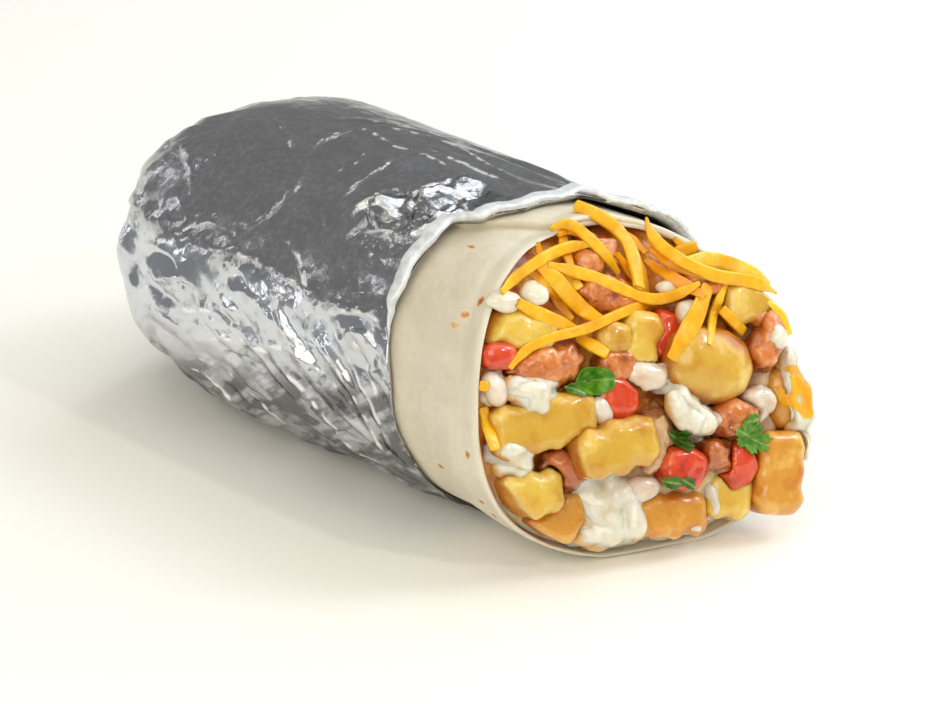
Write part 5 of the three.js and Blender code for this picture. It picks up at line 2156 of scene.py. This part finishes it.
BITS: Mapping[Cut, tuple[Bit, ...]] = {
    Cut.ONION: (Bit((-10.5, -2, 5), (5, 6.5, 4), 20), Bit((13, 21, 1.5), (9, 4, 5), -10),
                Bit((-33.5, 7.4, 4), (5.5, 8, 5), 12), Bit((4.4, 3.6, 4), (8.5, 5.5, 4), -14),
                Bit((29.5, -7.6, 4), (6.5, 6, 5), -40)),
    Cut.CREAM: (Bit((-29, 25, 4.5), (8, 4, 5), -10), Bit((-21, 26, 4), (6, 6, 5), -10),
                Bit((14, 15, 4), (7, 6, 6), -10)),
    Cut.TOMATO: (Bit((-32, 14, 4), (8, 6, 7), -11),),
    Cut.FRY: (Bit((-4, 13, 3), (8, 7, 8), -11),),
    Cut.CHICKEN: (Bit((-5, 7, 3), (9, 7, 8), -11), Bit((20, 21, 0), (9, 6, 8), -10),
                  Bit((33, 10, 1), (5, 6, 6), 30)),
}


@dataclass(frozen=True)
class SmallBits:
    """Small pieces between the large ones, one mesh for each cut."""

    plane: MouthPlane
    rings: int = 22
    around: int = 32

    def lump(self, bit: Bit, cut: Cut, seed: int) -> Dough:
        """One small piece.

        Args:
            bit: Where and how large it is.
            cut: What it is.
            seed: Which relief it gets.

        Returns:
            Its mesh.
        """
        latitude = np.linspace(0, np.pi, self.rings)[1:-1, None]
        longitude = np.arange(self.around)[None, :] * 2 * np.pi / self.around
        ball = np.stack([np.sin(latitude) * np.cos(longitude), np.sin(latitude) * np.sin(longitude),
                         np.cos(latitude) + 0 * longitude], axis=-1)
        vertices, faces = closed_skin(np.array([0, 0, 1.0]), ball, np.array([0, 0, -1.0]))
        power = 0.9 if cut in (Cut.CREAM, Cut.ONION) else 0.62
        vertices = np.sign(vertices) * np.abs(vertices) ** power
        vertices = vertices * np.array(bit.size) / 2
        turn = np.radians(bit.turn)
        spin = np.array([[np.cos(turn), np.sin(turn), 0], [-np.sin(turn), np.cos(turn), 0], [0, 0, 1]])
        vertices = self.plane.to_row(vertices @ spin + np.array(bit.place))
        texture = TEXTURES[cut]
        return texture.work(Dough(vertices, outward(vertices, faces)).evened(texture.voxel), seed, self.plane)

    def build(self) -> list[bpy.types.Object]:
        """Make one piece of each cut."""
        pieces = []
        for cut, bits in BITS.items():
            parts = [self.lump(bit, cut, 400 + 11 * number) for number, bit in enumerate(bits)]
            pieces.append(make_piece(f"{cut.value}_bits", Dough.joined(parts), BASE_FINISH[cut], cut.slot))
        return pieces


@dataclass(frozen=True)
class Leaf:
    """A torn leaf of coriander. Lengths in millimetres.

    Attributes:
        base: Right and up of its stalk end.
        tip: Right and up of its far end.
        width: Its width.
        lobes: Number of lobes round its edge; 0 for a smooth edge.
        curl: How far its sides stand up.
        lift: How far it stands off what it lies on.
        dark: How dark it is, from 0 to 1.
    """

    base: tuple[float, float]
    tip: tuple[float, float]
    width: float
    lobes: int
    curl: float
    lift: float
    dark: float


LEAVES = (
    Leaf((-15.5, 5.2), (-7.2, 4.6), 6.0, 0, 1.2, 0.4, 0.0),
    Leaf((-18.0, 5.2), (-14.0, 2.6), 2.6, 3, 0.5, 0.2, 0.5),
    Leaf((19.0, -11.5), (28.5, -17.5), 6.5, 7, 0.9, 0.5, 0.1),
    Leaf((21.5, -10.5), (26.0, -10.8), 3.6, 5, 0.7, 0.4, 0.2),
    Leaf((4.0, -9.5), (9.8, -13.8), 4.0, 5, 1.1, 0.3, 0.7),
    Leaf((0.4, -19.5), (5.2, -21.0), 3.0, 5, 0.7, 0.3, 0.6),
    Leaf((4.6, -19.6), (8.2, -22.6), 2.6, 3, 0.6, 0.3, 0.7),
)


@dataclass(frozen=True)
class Herbs:
    """Torn coriander leaves on the filling."""

    relief: Relief
    rings: int = 14
    around: int = 72
    thickness: float = 0.28

    def lobed(self, lobes: int, turn: Array, number: int) -> Array | float:
        """How far a leaf reaches at turns round its middle, as a share of a plain oval's reach."""
        if not lobes:
            return 1.0
        wave = np.abs(np.cos(turn * lobes / 2 + 0.6 * number))
        return 0.62 + 0.38 * wave ** 0.55 + 0.07 * np.cos(turn * lobes * 3 + number)

    def leaf(self, leaf: Leaf, number: int) -> Dough:
        """Lay one leaf down.

        Args:
            leaf: The leaf.
            number: Which leaf it is.

        Returns:
            Its mesh.
        """
        base, tip = np.array(leaf.base), np.array(leaf.tip)
        length = float(np.linalg.norm(tip - base))
        along, middle = (tip - base) / length, (tip + base) / 2
        across = np.array([-along[1], along[0]])
        turn = np.arange(self.around) * 2 * np.pi / self.around
        lobed = self.lobed(leaf.lobes, turn, number)
        share = (np.arange(1, self.rings + 1) / self.rings)[:, None]
        u = length / 2 * np.cos(turn) * lobed * share
        v = leaf.width / 2 * np.sin(turn) * lobed * share
        places = middle + u[..., None] * along + v[..., None] * across
        places = np.concatenate([middle[None], places.reshape(-1, 2)])
        u, v = np.concatenate([[0.0], u.ravel()]), np.concatenate([[0.0], v.ravel()])
        ground = self.relief.at(places[:, 0], places[:, 1])
        ground = np.maximum(ground, np.quantile(ground, 0.7) - 0.9)
        fit = np.stack([np.ones_like(u), u, v, u * u, v * v], axis=-1)
        weights, *_ = np.linalg.lstsq(fit, ground, rcond=None)
        lying = np.clip(fit @ weights, ground.min(), ground.max() + 0.6)
        cup = leaf.curl * (np.abs(v) / (leaf.width / 2)) ** 1.6
        ripple = 0.28 * np.sin(u * 2.1 + number) * np.abs(v) / (leaf.width / 2)
        veins = 0.10 * np.cos(np.abs(v) * 4.2 - u * 2.6) - 0.22 * np.exp(-(v / 0.28) ** 2)
        out = np.maximum(lying, ground - 0.4) + leaf.lift + cup + ripple + veins
        out = np.maximum(out, self.relief.highest(places[:, 0], places[:, 1], 0.5) + 0.2)
        upper = self.relief.plane.to_row(np.concatenate([places, out[:, None]], axis=1))
        lower = self.relief.plane.to_row(np.concatenate([places, (out - self.thickness)[:, None]], axis=1))
        top_rings = upper[1:].reshape(self.rings, self.around, 3)
        under_rings = lower[1:].reshape(self.rings, self.around, 3)[::-1]
        vertices, faces = closed_skin(upper[0], np.concatenate([top_rings, under_rings]), lower[0])
        rib = np.exp(-(v / 0.22) ** 2)
        ribs = np.concatenate([rib[1:], rib[1:].reshape(self.rings, -1)[::-1].ravel(), rib[:1], rib[:1]])
        marks = {"rib": ribs, "dark": np.full(len(vertices), leaf.dark)}
        return Dough(vertices, outward(vertices, faces), marks)

    def build(self) -> bpy.types.Object:
        """Lay every leaf down."""
        parts = [self.leaf(leaf, number) for number, leaf in enumerate(LEAVES)]
        return make_piece("coriander_leaves", Dough.joined(parts), HerbLeaf(), "herb")


@dataclass(frozen=True)
class Lamp:
    """A soft light that faces the burrito.

    Attributes:
        name: Its name.
        towards: Direction in which it stands.
        distance: How far off it stands in metres.
        size: Its two widths in metres.
        power: Its power in watts.
        colour: Its colour as hex.
    """

    name: str
    towards: tuple[float, float, float]
    distance: float
    size: tuple[float, float]
    power: float
    colour: str

    def build(self, target: Vector) -> None:
        """Set the light up, facing the target."""
        lamp = bpy.data.lights.new(self.name, "AREA")
        lamp.shape, lamp.size, lamp.size_y = "RECTANGLE", *self.size
        lamp.energy, lamp.color = self.power, srgb(self.colour)[:3]
        standing = bpy.data.objects.new(self.name, lamp)
        bpy.context.scene.collection.objects.link(standing)
        way = Vector(self.towards).normalized()
        standing.location = target + way * self.distance
        standing.rotation_euler = way.to_track_quat("Z", "Y").to_euler()


KEY_WHITE = "#EEF7FF"
FILL_WARM = "#FFFAE7"
MOUTH_WHITE = "#FFFCF2"
LAMPS = (
    Lamp("back_softbox", (0.15, 0.75, 0.62), 1.25, (1.5, 1.4), 10.2, KEY_WHITE),
    Lamp("side_softbox", (0.45, 0.55, 0.70), 1.25, (0.30, 0.30), 3.0, KEY_WHITE),
    Lamp("front_fill", (0.45, -0.80, 0.60), 1.3, (1.0, 0.8), 6.8, FILL_WARM),
    Lamp("mouth_fill", (0.95, 0.05, 0.45), 1.3, (0.8, 0.8), 0.5, MOUTH_WHITE),
    Lamp("mouth_spot", (0.80, 0.15, 0.75), 1.2, (0.05, 0.05), 1.5, MOUTH_WHITE),
    Lamp("overhead", (0.10, -0.05, 1.0), 1.4, (1.2, 1.2), 5.4, FILL_WARM),
)
STRIPS = ((-0.15, 0.45, 0.88), (-0.10, -0.62, 0.78), (-0.98, -0.05, 0.16), (-0.25, 0.93, 0.28),
          (-0.45, -0.86, 0.24))


@dataclass(frozen=True)
class Studio:
    """White paper floor, soft lights and the camera. Lengths in metres, angles in degrees."""

    azimuth: float = 46.0
    elevation: float = 26.0
    distance: float = 0.680
    lens: float = 113.0
    target: tuple[float, float, float] = (0.0075, 0.0, 0.028)
    floor_size: float = 3.0
    world: float = 0.265

    def direction(self) -> Vector:
        """From the target towards the camera."""
        azimuth, elevation = np.radians(self.azimuth), np.radians(self.elevation)
        level = np.cos(elevation)
        return Vector((level * np.sin(azimuth), -level * np.cos(azimuth), np.sin(elevation)))

    def build(self) -> None:
        """Set up the floor, world, lights and camera."""
        self.build_floor()
        world = bpy.data.worlds.new("studio_air")
        world.use_nodes = True
        world.node_tree.nodes["Background"].inputs["Color"].default_value = (self.world,) * 3 + (1.0,)
        bpy.context.scene.world = world
        for lamp in LAMPS:
            lamp.build(Vector(self.target))
        for number, towards in enumerate(STRIPS):
            strip = Lamp(f"strip_{number}", towards, 1.15, (0.035, 0.7), 0.5, "#FFFFFF")
            strip.build(Vector(self.target))
        self.build_camera()

    def build_floor(self) -> None:
        """Lay the paper."""
        half = self.floor_size / 2
        corners = [(-half, -half, 0), (half, -half, 0), (half, half, 0), (-half, half, 0)]
        mesh = bpy.data.meshes.new("studio_floor")
        mesh.from_pydata(corners, [], [(0, 1, 2, 3)])
        mesh.materials.append(StudioFloor().material())
        floor = bpy.data.objects.new("studio_floor", mesh)
        bpy.context.scene.collection.objects.link(floor)

    def build_camera(self) -> None:
        """Stand the camera up and choose how colours are shown."""
        scene = bpy.context.scene
        camera = bpy.data.objects.new("camera", bpy.data.cameras.new("camera"))
        camera.data.lens, camera.data.sensor_width = self.lens, 36.0
        camera.data.dof.use_dof = False
        camera.data.clip_start = 0.01
        scene.collection.objects.link(camera)
        camera.location = Vector(self.target) + self.direction() * self.distance
        camera.rotation_euler = self.direction().to_track_quat("Z", "Y").to_euler()
        scene.camera = camera
        scene.view_settings.view_transform = "Standard"


def main() -> None:
    """Build the burrito piece by piece, then the studio."""
    logging.basicConfig(level=logging.INFO, format="%(name)s: %(message)s")
    roll = Roll()
    plane = MouthPlane(roll)
    sleeve = FoilSleeve(roll)
    sleeve.build()
    tortilla = Tortilla(roll, sleeve)
    wall = tortilla.build()
    core = FillingCore(tortilla, plane).build()
    morsels = Filling(plane).build()
    bits = SmallBits(plane).build()
    under = [wall, core, *morsels, *bits]
    bare = Relief(plane, under)
    sauce = SauceFilm("sour_cream_sauce", CREAM, "cream", POURS, bare).build()
    melted = SauceFilm("cheese_melted", ShreddedCheese(), "cheese", MELTED, bare).build()
    relief = Relief(plane, [*under, sauce, melted])
    Herbs(relief).build()
    CheeseShreds(relief).build()
    Studio().build()


if __name__ == "__main__":
    main()
